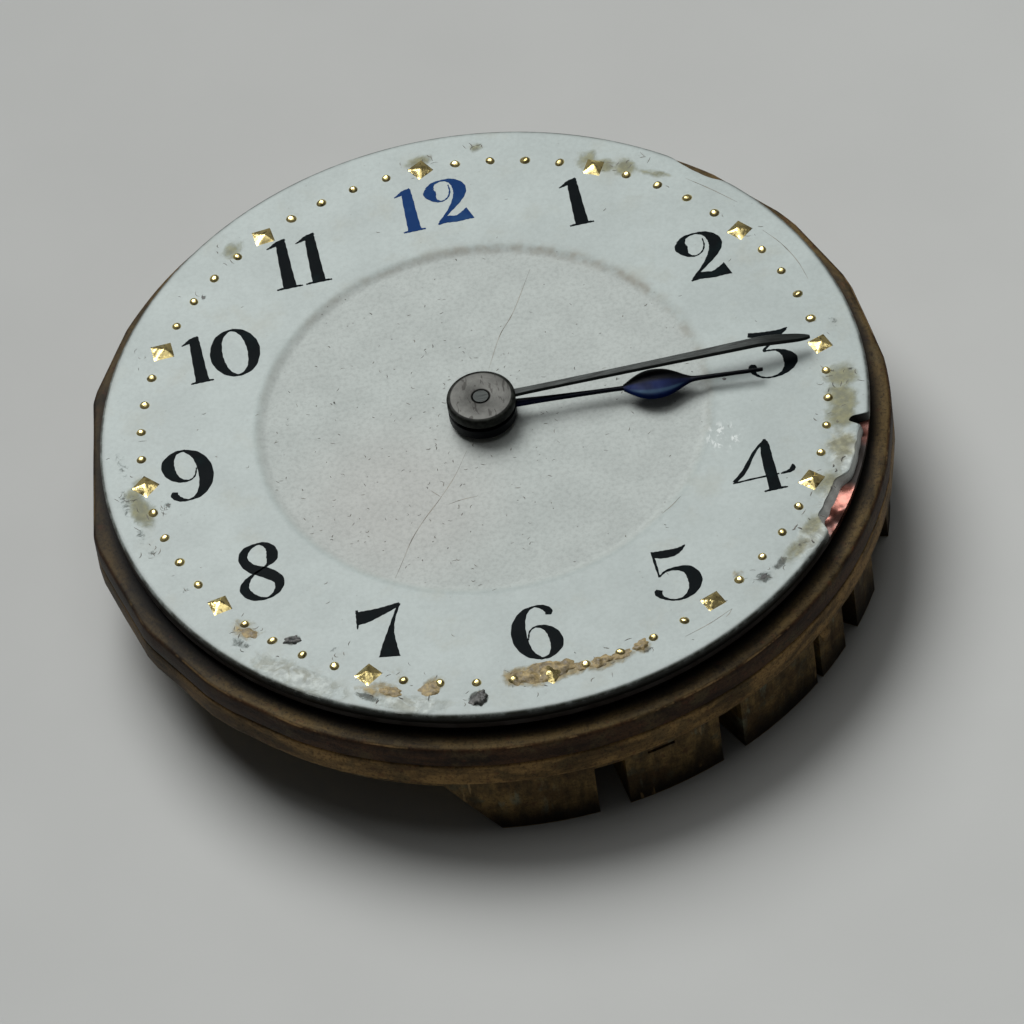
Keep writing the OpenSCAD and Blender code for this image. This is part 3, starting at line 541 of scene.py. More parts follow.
def gilt_finish(colours):
    """Gilding, thin and dirty in places, so that part of its light is scattered like paint."""
    f = Finish("gilt")
    worn = f.noise(2.6, 4, 0.6)
    base = f.tone(worn, 0.62, 0.4, colours.gilt, 0.45, 1.0)
    base = f.spotted(base, (0.10, 0.07, 0.02), f.noise(5.0, 3, 0.6), 0.56, 0.66, 0.8)
    return f.surface(base, f.step(worn, 0.3, 0.8, 0.14, 0.3), f.bump(f.noise(4.0, 3), 0.02), Metallic=0.85)


def rim_finish(colours):
    """Old brass edge: golden brown on top, a dark band above the groove, a lighter streaked one below it.

    Thin lines along the upper and lower corner are worn bright where streaked noise is high. Painted shade
    darkens the top towards the dial and the whole edge on the left.
    """
    f = Finish("worn_rim")
    height = f.part(2)
    streaks = f.noise(1.3, 6, 0.65, where=f.wrapped(0.3, 1.0), twist=0.3)
    fine = f.noise(9.0, 4, 0.7)
    base = f.spotted((0.195, 0.118, 0.042), (0.042, 0.020, 0.008), height, Z_RIM - 1.02, Z_RIM - 0.9)
    base = f.spotted(base, (0.066, 0.043, 0.014), height, Z_RIM - 0.05, Z_RIM - 0.012)
    base = f.shade(base, streaks, 0.34, 0.66, 0.4, 1.7)
    base = f.spotted(base, (0.085, 0.062, 0.026), f.noise(1.1, 5, 0.65), 0.5, 0.66, 0.6)
    base = f.spotted(base, (0.100, 0.034, 0.013), f.noise(2.4, 4, 0.6), 0.58, 0.7, 0.5)
    base = f.shade(base, fine, 0.45, 0.7, 1.1, 0.4)
    upper = f.all_of(f.step(f.off(height, Z_RIM - 0.055), 0.008, 0.03, 1.0, 0.0),
                     f.step(f.noise(0.35, 5, 0.75), 0.5, 0.62))
    lower = f.all_of(f.step(f.off(height, Z_FLANGE + 0.06), 0.02, 0.06, 1.0, 0.0),
                     f.step(f.noise(0.7, 5, 0.7), 0.5, 0.68, 0.0, 0.25))
    ridge = f.math("MAXIMUM", upper, lower)
    base = f.mix(ridge, base, colours.rim)
    # Painted shade: the top darkens towards the dial, in the shade under the dial's edge.
    base = f.shade(base, f.away(), DIAL_R - 0.05, DIAL_R + 0.5, 0.08, 1.0)
    # Painted shade: darker on the left, from x = -14 to -7 mm, where the main lamp lights the rim most.
    base = f.shade(base, f.part(0), -14.0, -7.0, 0.42)
    relief = f.bump(fine, 0.015, f.bump(streaks, 0.03))
    return f.surface(base, f.between(ridge, 0.62, 0.4), relief, Metallic=f.between(ridge, 0.15, 0.8),
                     Specular_IOR_Level=0.2)


def wall_finish(colours):
    """Bars: brown, gold and grey-green patina with upright scratches outside, with painted shade darkening it
    towards the floor, and gilding inside and below.
    """
    f = Finish("bar_walls")
    height = f.part(2)
    upright = f.noise(1.6, 5, 0.7, where=f.wrapped(1.0, 0.3), twist=0.2)
    blotch = f.noise(0.9, 5, 0.65)
    fine = f.noise(8.0, 4, 0.7)
    base = f.spotted((0.082, 0.048, 0.016), (0.200, 0.130, 0.046), blotch, 0.35, 0.65)
    base = f.spotted(base, (0.085, 0.088, 0.055), f.noise(1.5, 4, 0.6), 0.55, 0.68, 0.6)
    base = f.spotted(base, (0.085, 0.030, 0.014), f.noise(2.2, 4, 0.6), 0.6, 0.72, 0.6)
    base = f.shade(base, upright, 0.35, 0.65, 0.5, 1.5)
    pale = f.all_of(f.step(f.noise(1.9, 4, 0.6, where=f.wrapped(1.0, 0.25)), 0.56, 0.66, 0.0, 0.7),
                    f.step(f.noise(0.5, 2), 0.48, 0.6))
    base = f.mix(pale, base, (0.22, 0.23, 0.16))
    base = f.shade(base, fine, 0.45, 0.7, 1.0, 0.5)
    # Painted shade: the outer walls darken towards the floor, under the plate's overhang.
    base = f.shade(base, height, 0.15, 1.5, 0.15, 1.0)
    cut = f.all_of(f.step(f.noise(3.2, 2, 0.5, where=f.wrapped(1.0, 0.12)), 0.66, 0.7),
                   f.step(f.noise(0.9, 2), 0.5, 0.6), 0.7)
    base = f.mix(cut, base, colours.rim)
    gilded = f.spotted(colours.bar, (0.14, 0.09, 0.035), blotch, 0.42, 0.7, 0.6)
    dull = f.all_of(f.step(height, 0.0, 0.05), f.step(f.away(), BAR_R - 1.6, BAR_R - 0.5))
    base = f.mix(dull, gilded, base)
    relief = f.bump(f.all_of(fine, f.between(dull, 0.3, 1.0)), 0.02)
    relief = f.bump(f.all_of(upright, dull), 0.06, relief)
    return f.surface(base, f.between(dull, 0.46, 0.6), relief, Metallic=f.between(dull, 1.0, 0.25),
                     Specular_IOR_Level=0.3)


def metal_finish(f, colour, tarnish, clouds, grain, rough, spread):
    """Clean metal: clouds are (noise, low, high, most), the grain gives the gloss and a fine relief."""
    base = f.spotted(colour, tarnish, *clouds)
    return f.surface(base, f.step(grain, 0.3, 0.7, rough, rough + spread), f.bump(grain, 0.006), Metallic=1.0)


def circular_finish(name, colour, spot, rough):
    """Metal grained in circles round a wheel's axis: fine waves of the radius."""
    f = Finish(name)
    grain = f.noise(2.0, 3, 0.7, where=f.wrapped(0.05, 6.0, spot))
    return metal_finish(f, colour, scaled(colour, 0.5), (f.noise(0.8, 4, 0.6), 0.4, 0.7, 0.35), grain,
                        rough, 0.14)


def steel_finish(name, colour, rough):
    """Polished steel with faint scratches and grey spots."""
    f = Finish(name)
    scratch = f.noise(3.0, 5, 0.7, where=f.placed((6, 0.7, 2)))
    return metal_finish(f, colour, scaled(colour, 0.45), (f.noise(1.6, 4, 0.6), 0.45, 0.75, 0.6), scratch,
                        rough, 0.15)


def frosted_finish(name, colour, tarnish, rough):
    """Frosted gilding: fine grain, and faint clouds of tarnish that are also duller."""
    f = Finish(name)
    clouds = f.noise(0.5, 5, 0.6)
    base = f.spotted(colour, (0.12, 0.075, 0.03), clouds, 0.42, 0.7, tarnish)
    grain = f.noise(22.0, 2, 0.7)
    return f.surface(base, f.step(clouds, 0.3, 0.7, rough, rough + 0.15), f.bump(grain, 0.006), Metallic=1.0)


def blued_finish(name, colour):
    """Blued steel: deep blue with paler clouds from the heat."""
    f = Finish(name)
    base = f.tone(f.noise(0.9, 3, 0.5), 0.35, 0.7, colour, 0.3, 1.0)
    return f.surface(base, f.step(f.noise(4.0, 4), 0.3, 0.7, 0.22, 0.34), f.bump(f.noise(7.0, 3), 0.004),
                     Metallic=1.0, Coat_Weight=0.12, Coat_Roughness=0.15)


def pear_finish(colour):
    """The hour hand: nearly black, with painted shade making the far half of its pear and its shank black,
    the near half deep blue, and a painted highlight paler along its edge.
    """
    f = Finish("blued_hand")
    base = f.tone(f.noise(0.9, 3, 0.5), 0.35, 0.7, colour, 0.12, 0.3)
    # Painted shade: the far half of the pear and the shank nearly black.
    base = f.mix(f.mark("side"), base, (0.0015, 0.0020, 0.0030))
    # Painted highlight: paler blue along the pear's near edge.
    base = f.mix(f.mark("pale"), base, (0.030, 0.062, 0.100))
    return f.surface(base, f.step(f.noise(4.0, 4), 0.3, 0.7, 0.34, 0.46), f.bump(f.noise(7.0, 3), 0.004),
                     Metallic=0.15, Specular_IOR_Level=0.06)


def jewel_finish(colour):
    """Clear red stone."""
    f = Finish("ruby")
    base = f.spotted(colour, scaled(colour, 0.6), f.noise(2.0, 3), 0.4, 0.7)
    return f.surface(base, 0.06, IOR=1.76, Transmission_Weight=0.35)


def copper_finish(colours):
    """Old copper, nearly black, but rubbed pink and glossy where the chip bares it."""
    f = Finish("dial_copper_metal")
    corner = f.near((13.3, -4.1, Z_LEDGE + 0.2), 0.5, 0.4)
    bared = f.math("MAXIMUM", f.near((11.6, -7.6, Z_LEDGE + 0.2), 0.95, 0.5), f.all_of(corner, 0.6))
    rubbed = f.tone(f.noise(1.4, 3, 0.5), 0.4, 0.62, colours.copper, 0.2, 1.0)
    base = f.mix(bared, (0.016, 0.010, 0.007), rubbed)
    return f.surface(base, f.between(bared, 0.6, 0.26), f.bump(f.noise(0.9, 0, 0.4, twist=0.8), 0.35),
                     Metallic=f.between(bared, 0.3, 0.6))


def boss_finish(radius):
    """The boss: fine circles and scratches on a grey top, a dark ring at the middle, a nearly black side."""
    f = Finish("boss_steel")
    top = node_box("minute_hand")[1][2]
    away = f.away()
    grain = f.noise(2.0, 4, 0.7, where=f.wrapped(0.15, 5.0))
    face = f.tone(f.noise(1.4, 4, 0.6), 0.3, 0.7, (0.118, 0.119, 0.110), 0.75, 1.1)
    face = f.shade(face, grain, 0.35, 0.65, 0.88, 1.06)
    nicks = f.noise(1.7, 2, 0.5, where=f.placed((4.0, 1.1, 1.0)), twist=0.8)
    face = f.mix(f.all_of(f.step(nicks, 0.60, 0.64), 0.7), face, (0.035, 0.033, 0.03))
    face = f.mix(f.step(f.off(away, 0.31), 0.03, 0.07, 1.0, 0.0), face, (0.016, 0.016, 0.015))
    side = f.tone(f.noise(4.0, 4), 0.35, 0.65, (0.010, 0.011, 0.009), 0.5, 1.8)
    up = f.all_of(f.step(f.part(2), top - 0.05, top - 0.012),
                  f.step(away, radius - 0.17, radius - 0.12, 1.0, 0.0))
    return f.surface(f.mix(up, side, face), f.step(grain, 0.3, 0.7, 0.42, 0.52), f.bump(grain, 0.004),
                     Metallic=f.between(up, 0.05, 0.3), Specular_IOR_Level=0.06)


def dark_steel_finish(name, face):
    """Hand steel: a dull grey brushed face, and painted shade, nearly black, where the mark called side is
    high.
    """
    f = Finish(name)
    brushed = f.noise(2.2, 5, 0.68, where=f.placed((0.7, 6.0, 1.0)))
    base = f.mix(f.mark("side"), f.tone(brushed, 0.32, 0.68, face, 0.4, 1.3), (0.008, 0.010, 0.009))
    return f.surface(base, f.step(brushed, 0.3, 0.7, 0.42, 0.55), f.bump(brushed, 0.004), Metallic=0.12,
                     Specular_IOR_Level=0.1)


def crust_finish(name, colour, light):
    """Dried crust: a dull body colour with paler grains."""
    f = Finish(name)
    grains = f.noise(4.5, 5, 0.68)
    base = f.shade(f.spotted(colour, light, grains, 0.4, 0.66), f.noise(1.8, 4), 0.35, 0.6, 0.6, 1.1)
    return f.surface(base, f.step(grains, 0.3, 0.7, 0.35, 0.7), f.bump(grains, 0.04))


def soot_finish(colour):
    """Soot pressed in cracks and dried hairs, uneven along its length."""
    f = Finish("soot_lines")
    base = f.tone(f.noise(1.5, 4, 0.6), 0.3, 0.7, colour, 0.5, 1.9)
    return f.surface(base, f.step(f.noise(5.0, 2), 0.3, 0.7, 0.5, 0.8))


def floor_finish(colour):
    """Smooth pale board with the faintest mottling, and painted shade and light that make it a little darker
    towards the back left and lighter towards the front right.
    """
    f = Finish("pale_board")
    base = f.tone(f.noise(0.12, 4, 0.5), 0.3, 0.7, colour, 1.0, 0.965)
    # Painted shade and light across the floor, from the back left to the front right.
    base = f.shade(base, f.math("SUBTRACT", f.part(0), f.part(1)), -60.0, 60.0, 0.82, 1.10)
    return f.surface(base, 0.55, Specular_IOR_Level=0.3)


def dress(finish, *nodes):
    """Gives CAD nodes a finish in place of the one they were packed with."""
    for name in nodes:
        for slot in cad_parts[name].material_slots:
            slot.material = finish


# Painted numerals: strokes of (x, y, half width) in millimetres round each numeral's middle

ONE = [[(0.07, 1.1, 0.17), (0.055, 0.6, 0.2), (0.04, -0.4, 0.225), (0.04, -1.12, 0.25)],
       [(0.24, 1.15, 0.05), (-0.05, 1.02, 0.1), (-0.3, 0.9, 0.05), (-0.45, 0.84, 0.02)],
       [(-0.42, -1.13, 0.03), (-0.2, -1.11, 0.05), (0.25, -1.11, 0.05), (0.48, -1.13, 0.03)]]
TWO = [[(-0.6, 0.8, 0.17), (-0.4, 1.05, 0.08), (0, 1.14, 0.04), (0.36, 1.03, 0.12), (0.6, 0.72, 0.23),
        (0.62, 0.38, 0.24), (0.4, -0.05, 0.17), (0, -0.52, 0.08), (-0.5, -1.02, 0.04)],
       [(-0.6, 0.86, 0.13), (-0.62, 0.56, 0.24), (-0.48, 0.2, 0.1), (-0.2, 0.06, 0.03), (0.08, 0.2, 0.03),
        (0.22, 0.5, 0.03), (0.22, 0.85, 0.02)],
       [(-0.58, -1.12, 0.03), (-0.2, -0.95, 0.16), (0.25, -1, 0.16), (0.58, -0.92, 0.23),
        (0.84, -0.84, 0.32)]]
THREE = [[(-0.72, 1.08, 0.1), (-0.35, 0.97, 0.14), (0.02, 0.92, 0.15), (0.4, 0.94, 0.11), (0.74, 1.07, 0.03)],
         [(0.68, 1.02, 0.04), (0.2, 0.62, 0.05), (-0.3, 0.22, 0.05), (-0.12, 0.16, 0.04), (0.14, 0.11, 0.05),
          (0.4, -0.1, 0.16), (0.54, -0.42, 0.265), (0.44, -0.74, 0.2), (0.14, -1.02, 0.09),
          (-0.25, -1.12, 0.04), (-0.6, -1.05, 0.04), (-0.84, -0.82, 0.07), (-0.88, -0.6, 0.15),
          (-0.85, -0.45, 0.15), (-0.82, -0.36, 0.08)]]
FOUR = [[(0.36, 1.2, 0.04), (0.33, 0.95, 0.15), (0.28, 0.3, 0.2), (0.27, -1.18, 0.22)],
        [(0.36, 1.15, 0.05), (-0.1, 0.7, 0.06), (-0.65, -0.1, 0.09), (-1.1, -0.52, 0.07)],
        [(-1.15, -0.56, 0.03), (-0.5, -0.53, 0.04), (0.55, -0.53, 0.035)],
        [(0.6, -0.55, 0.03), (0.95, -0.5, 0.08), (1.08, -0.38, 0.1), (1.1, -0.22, 0.03)],
        [(-0.14, -1.22, 0.03), (0.1, -1.2, 0.05), (0.5, -1.2, 0.05), (0.72, -1.22, 0.03)]]
FIVE = [[(-0.6, 1.06, 0.13), (-0.3, 0.99, 0.18), (0.1, 0.98, 0.17), (0.38, 1.07, 0.1), (0.6, 1.22, 0.02)],
        [(-0.62, 1.2, 0.04), (-0.6, 0.6, 0.05), (-0.58, -0.02, 0.03)],
        [(-0.58, 0, 0.03), (-0.3, 0.2, 0.05), (0.1, 0.22, 0.09), (0.48, 0.05, 0.2), (0.63, -0.4, 0.26),
         (0.48, -0.86, 0.18), (0.1, -1.16, 0.07), (-0.3, -1.17, 0.04), (-0.64, -0.97, 0.07),
         (-0.76, -0.74, 0.14), (-0.7, -0.6, 0.12)]]
SIX = [[(0.58, 0.72, 0.1), (0.62, 0.9, 0.14), (0.42, 1.12, 0.1), (0.1, 1.2, 0.04), (-0.3, 1, 0.14),
        (-0.6, 0.45, 0.25), (-0.65, -0.25, 0.27), (-0.45, -0.85, 0.18), (-0.05, -1.2, 0.05)],
       [(-0.1, -1.2, 0.04), (0.3, -1.13, 0.09), (0.62, -0.7, 0.23), (0.6, -0.2, 0.22), (0.36, 0.16, 0.12),
        (0.02, 0.28, 0.04), (-0.24, 0.12, 0.03), (-0.36, -0.25, 0.025)]]
SEVEN = [[(-0.78, 0.82, 0.3), (-0.45, 0.83, 0.28), (0, 0.9, 0.2), (0.4, 0.99, 0.14), (0.82, 1.1, 0.08)],
         [(-0.72, 1.2, 0.04), (-0.76, 0.75, 0.06), (-0.84, 0.34, 0.02)],
         [(0.8, 1.12, 0.05), (0.5, 0.5, 0.06), (0.28, -0.1, 0.13), (0.13, -0.7, 0.27), (0.04, -1.2, 0.38)]]
EIGHT = [[(0.12, 1.28, 0.05), (-0.3, 1.08, 0.14), (-0.46, 0.68, 0.17), (-0.24, 0.22, 0.2),
          (0.25, -0.12, 0.24), (0.62, -0.55, 0.2), (0.5, -1.02, 0.12), (0.08, -1.28, 0.05),
          (-0.4, -1.12, 0.15), (-0.64, -0.72, 0.18), (-0.5, -0.35, 0.12), (-0.2, -0.08, 0.05),
          (0.3, 0.2, 0.05), (0.55, 0.5, 0.2), (0.6, 0.9, 0.19), (0.42, 1.2, 0.11)]]
RIGHT_HALF = [(0, 1.11, 0.05), (0.42, 0.88, 0.14), (0.655, 0.35, 0.225), (0.67, -0.2, 0.225),
              (0.46, -0.82, 0.15)]
NOUGHT = [RIGHT_HALF + [(-x, -y, half) for x, y, half in RIGHT_HALF]]
NINE = [[(-x, -y, half) for x, y, half in stroke] for stroke in SIX]
ROUND_NUMERALS = (EIGHT, NOUGHT)

# Each numeral: strokes, middle x and y, scale across and up
BLACK_NUMERALS = [(ONE, 5.24, 9.28, 1, 1), (TWO, 9.16, 5.38, 1, 1), (THREE, 10.72, 0.04, 1, 1),
                  (FOUR, 9.18, -5.09, 1, 1), (FIVE, 5.19, -9.18, 1, 1), (SIX, -0.10, -10.52, 0.96, 1),
                  (SEVEN, -5.38, -8.98, 1, 1), (EIGHT, -9.16, -5.06, 1, 1), (NINE, -10.87, 0.14, 1, 0.98),
                  (ONE, -9.63, 5.48, 0.95, 0.97), (NOUGHT, -8.21, 5.46, 1, 1),
                  (ONE, -5.74, 9.22, 1.08, 1.06), (ONE, -4.65, 9.22, 1.08, 1.06)]
BLUE_NUMERALS = [(ONE, -0.78, 10.56, 0.92, 0.92), (TWO, 0.66, 10.63, 0.88, 0.94)]


# Smallest half width of a stroke, lift of each further stroke so that none lies in another's face, and
# how far the paint reaches into the enamel
THINNEST_STROKE = 0.022
STROKE_LIFT = 0.0006
PAINT_SUNK = 0.01


def painted(numerals, height):
    """Raised strokes of paint: each a low section with rounded edges, carried along a smooth path."""
    shapes = []
    for strokes, x, y, across, up in numerals:
        for number, stroke in enumerate(strokes):
            closed = any(strokes is s for s in ROUND_NUMERALS)
            line = smooth_through(stroke, 12, closed)
            uneven = 0.006 * np.sin(np.arange(len(line)) * 0.9 + x * 7 + number)
            half = np.maximum(line[:, 2], THINNEST_STROKE) + uneven
            path = np.stack([x + line[:, 0] * across, y + line[:, 1] * up], 1)
            top = Z_DIAL + height + number * STROKE_LIFT
            foot, shoulder = Z_DIAL - PAINT_SUNK, top - height * 0.4
            section = [(-1, foot), (-1, shoulder), (-0.93, top), (-0.86, top),
                       (0.86, top), (0.93, top), (1, shoulder), (1, foot)]
            shapes.append(carried(path, half, section, closed))
    return join_shapes(shapes)


# Dirt on the dial: (x, y, half length, half width, turn in degrees, strength)
OLIVE = [(0, 12.88, 0.5, 0.25, 10, 0.9), (-7.45, 10.45, 0.5, 0.32, 35, 0.7),
         (-12.6, 0.15, 0.3, 0.35, 0, 0.7), (-12.75, -1.1, 0.38, 0.75, 10, 1.1),
         (-12.9, -0.35, 0.4, 0.4, 0, 0.8), (12.85, -1.7, 0.55, 0.55, 0, 1),
         (12.65, -2.7, 0.5, 0.75, 8, 1), (12.45, -3.5, 0.52, 0.6, 0, 1),
         (12.2, -4.9, 0.5, 0.6, 0, 0.95), (11.3, -6.5, 0.6, 0.45, 40, 0.8),
         (10.4, -8.3, 0.6, 0.35, 50, 0.85), (9.6, -9.2, 0.7, 0.28, 40, 0.85), (2.2, 13, 0.25, 0.2, 0, 0.8),
         (6.1, 11.2, 0.42, 0.5, 0, 0.8), (6.55, 10.8, 0.5, 0.3, -20, 1), (7.35, 10.45, 0.36, 0.42, 0, 1),
         (8.4, 9.85, 0.6, 0.13, -30, 0.9)]
TAN = [(-10.1, -7.6, 0.7, 0.5, -40, 0.6), (-6, -11.55, 0.8, 0.36, -20, 0.75),
       (-5.15, -11.1, 0.35, 0.4, 0, 0.5), (-4.15, -11.9, 0.55, 0.34, 20, 0.85),
       (-1.2, -12.3, 0.5, 0.45, 0, 1), (-0.5, -12.4, 0.6, 0.5, 0, 1),
       (0.2, -12.5, 0.5, 0.4, 0, 1), (0.9, -12.55, 0.5, 0.25, 0, 0.8), (1.8, -12.5, 0.6, 0.28, 0, 0.95),
       (2.6, -12.4, 0.5, 0.22, 10, 0.8), (3.4, -12.15, 0.36, 0.3, 20, 0.85), (7.35, -9.8, 0.3, 0.3, 0, 0.5)]
SOOT = [(-8.9, 8.45, 0.14, 0.12, 0, 0.9), (-11.85, 6, 0.3, 0.3, 0, 0.45), (-13.1, 1.3, 0.4, 1.1, 0, 0.5),
        (-13.3, -0.6, 0.25, 0.9, 0, 0.6), (-13, -2.3, 0.25, 0.5, 0, 0.6), (-11.85, -1.1, 0.16, 0.2, 0, 0.8),
        (-12.75, -3.15, 0.2, 0.16, 0, 0.65), (-11.85, -5.2, 0.18, 0.14, 0, 0.6),
        (-10.4, -8.1, 0.5, 0.25, -40, 0.7), (-8.55, -8.5, 0.28, 0.22, 0, 1.1),
        (-7.1, -9.3, 0.4, 0.12, 20, 0.6), (-6.4, -11.8, 0.6, 0.2, -35, 0.75),
        (-2.65, -12.9, 0.36, 0.34, 40, 1.2),
        (3.5, -12.3, 0.2, 0.2, 0, 0.8), (12.5, -1.35, 0.14, 0.12, 0, 0.9), (13.25, -1.45, 0.14, 0.12, 0, 0.9),
        (9.9, -9, 0.4, 0.2, 40, 0.65), (8.9, -9.7, 0.5, 0.2, 40, 0.75), (8.2, -10.2, 0.35, 0.3, 0, 0.85),
        (0.3, 12.95, 0.3, 0.12, 10, 0.8), (6.1, 11.5, 0.25, 0.25, 0, 0.4), (10.3, 6.9, 0.3, 0.2, 0, 0.45),
        (11.3, 6, 0.15, 0.2, 0, 0.6), (13.1, 0.9, 0.3, 0.7, 0, 0.5), (8.25, 10.95, 0.2, 0.15, 0, 0.45)]
CRUMB = [(12.3, -5.2, 0.7, 1.1, 0, 1), (11.6, -7, 1, 0.6, 50, 0.9), (10.3, -8.7, 1.3, 0.5, 48, 0.8),
         (-8.7, -10.2, 1.9, 0.55, -40, 0.9), (-5, -12.5, 1.4, 0.4, -18, 0.8)]


# Bites out of the enamel's edge: depth, middle and half width as clock degrees, steepness of the ends
BITES = [(0.62, 106.4, 0.9, 4), (0.34, 112, 5.5, 6), (0.8, 122.6, 5.2, 6), (0.22, 46, 4, 4)]


def chip_depth(a):
    """How far the enamel has broken back from its edge at a clock angle: the bites times a torn wave."""
    degrees = np.degrees(a) % 360
    depth = sum(deep * hump(degrees, *bite) for deep, *bite in BITES)
    return depth * (1 + ripple(a, 5, (41, 67, 97, 151), 0.22))


def dial_angles():
    """Clock angles of the dial's grid, closer together at the chip."""
    chip = np.arange(100.0, 134.0, 0.12)
    rest = np.arange(134.0, 460.0, 0.6)
    return np.radians(np.concatenate([chip, rest]))


# The step round the sunk centre: how far inside its radius it starts, and its width
STEP_INSIDE = 0.44
STEP_WIDE = 0.48

# The radius that rounds the dial's outer edge, and the width of the band that the chip draws in
EDGE_ROUND = 0.12
EDGE_BAND = 0.9


def step_height(s, depth):
    """Height of the dial over its step, s going from 0 inside to 1 outside: a smooth step."""
    return Z_DIAL - depth * (1 - s * s * (3 - 2 * s))


def enamel_shape(sizes):
    """The enamel: a profile turned round Z, its outer rows following the chip's broken line.

    Rows run out over the sunk centre, its step and the hour ring, round the edge and back underneath.
    """
    hole, sunk, depth = sizes.hole / MM, sizes.sunk / MM, sizes.sunk_depth / MM
    flat = np.linspace(hole + 0.03, sunk - 0.46, 26)
    step = np.linspace(0, 1, 9)
    ring = np.linspace(sunk + 0.06, DIAL_R - EDGE_BAND, 24)
    edge = np.linspace(DIAL_R - 0.84, DIAL_R - 0.13, 12)
    turn_down = np.linspace(0, math.pi / 2, 7)
    profile = [(hole, Z_COPPER), (hole, Z_DIAL - depth - 0.03)]
    profile += [(r, Z_DIAL - depth) for r in flat]
    profile += [(sunk - STEP_INSIDE + STEP_WIDE * s, step_height(s, depth)) for s in step]
    profile += [(r, Z_DIAL) for r in ring]
    first_edge = len(profile)
    profile += [(r, Z_DIAL) for r in edge]
    profile += [(DIAL_R - EDGE_ROUND * (1 - math.sin(t)), Z_DIAL - EDGE_ROUND * (1 - math.cos(t)))
                for t in turn_down]
    profile += [(DIAL_R, Z_COPPER + 0.1), (DIAL_R - 0.02, Z_COPPER)]
    last_edge = len(profile)
    profile += [(DIAL_R - 1.2, Z_COPPER), (DIAL_R * 0.5, Z_COPPER)]
    angles = dial_angles()
    points, quads = turned(profile, angles, closed_profile=True)
    grid = points.reshape(len(profile), len(angles), 3)
    r = np.hypot(grid[..., 0], grid[..., 1])
    pull = np.zeros(r.shape)
    rows = slice(first_edge, last_edge)
    share = (r[rows] - (DIAL_R - EDGE_BAND)) / EDGE_BAND
    pull[rows] = chip_depth(angles) * np.clip(share, 0, 1) ** 1.5
    pull *= 1 - 0.35 * np.clip((Z_DIAL - grid[..., 2]) / 0.42, 0, 1)
    grid[..., :2] *= ((r - pull) / r)[..., None]
    x, y = grid[..., 0], grid[..., 1]
    rough = patches(x, y, CRUMB) + np.clip(pull, 0, 0.3)
    top = grid[..., 2] > Z_DIAL - 0.03
    broken = rough * (0.5 * clumps(x, y, 3, 0.14) - 0.6) * 0.05
    grid[..., 2] += np.where(top & (r > sunk + 0.2), broken, 0)
    return grid.reshape(-1, 3), quads


def dial_marks(points, sunk):
    """Named values on the dial's points: where it is sunk, lined with dirt, and dirty in each way, and where
    painted shade and painted light lie on its edge, side wall and broken face.
    """
    x, y, z = points.T
    r = np.hypot(x, y)
    clock = np.degrees(np.arctan2(x, y)) % 360
    turned_clock = (clock + 180) % 360
    upper = 0.10 + 0.8 * hump(turned_clock, 215, 70)
    wide = 0.10 + 0.12 * hump(turned_clock, 215, 75)
    chipped = hump(clock, 117, 12.5, 8)
    outside = r > DIAL_R - 1.15
    # Painted shade: the notch below the top and the side wall under the rounded edge, made nearly black in
    # the finish.
    notch = hump(clock, 106.4, 1.5, 4) * (z < Z_DIAL - 0.02)
    wall = np.maximum(np.clip((Z_DIAL - 0.07 - z) / 0.06, 0, 1) * (1 - chipped), notch) * outside
    # Painted shade along the rounded outer edge, weaker at the chip.
    edge = hump(np.clip(DIAL_R - 0.02 - r, 0, 1), 0, 0.09) * (1 - 0.8 * chipped)
    return {"sunk": np.clip((sunk + 0.05 - r) / 0.3, 0, 1), "edge_line": upper * hump(r, sunk - 0.12, wide),
            "slope": hump(r, sunk - 0.15, 0.3), "olive": patches(x, y, OLIVE), "tan": patches(x, y, TAN),
            "soot": patches(x, y, SOOT), "crumb": patches(x, y, CRUMB),
            # Painted light on the chip's broken face below the top.
            "broken": np.clip((Z_DIAL - 0.04 - z) / 0.08, 0, 1) * chipped * outside,
            "edge_shade": edge, "wall": wall}


# Dried crusts and flakes: (x, y, half length, half width, turn in degrees, height)
CRUSTS = [(-1.15, -12.35, 0.3, 0.36, 0, 0.1), (-0.35, -12.35, 0.75, 0.46, 5, 0.12),
          (0.45, -12.3, 0.5, 0.36, 10, 0.11), (1.1, -12.42, 0.32, 0.22, 10, 0.06),
          (1.85, -12.4, 0.42, 0.25, 8, 0.09), (2.6, -12.3, 0.4, 0.2, 12, 0.07),
          (3.35, -12.05, 0.3, 0.24, 25, 0.09), (-4.2, -12, 0.48, 0.28, 15, 0.08),
          (-5.6, -11.75, 0.42, 0.22, -20, 0.06), (-10, -7.75, 0.4, 0.22, -40, 0.05)]
FLAKES = [(-2.65, -12.9, 0.36, 0.3, 40, 0.16), (-8.55, -8.5, 0.3, 0.2, 0, 0.12),
          (-8.9, 8.45, 0.09, 0.08, 0, 0.05), (8.75, -0.7, 0.08, 0.07, 0, 0.04),
          (8.2, -10.15, 0.16, 0.1, 30, 0.05)]

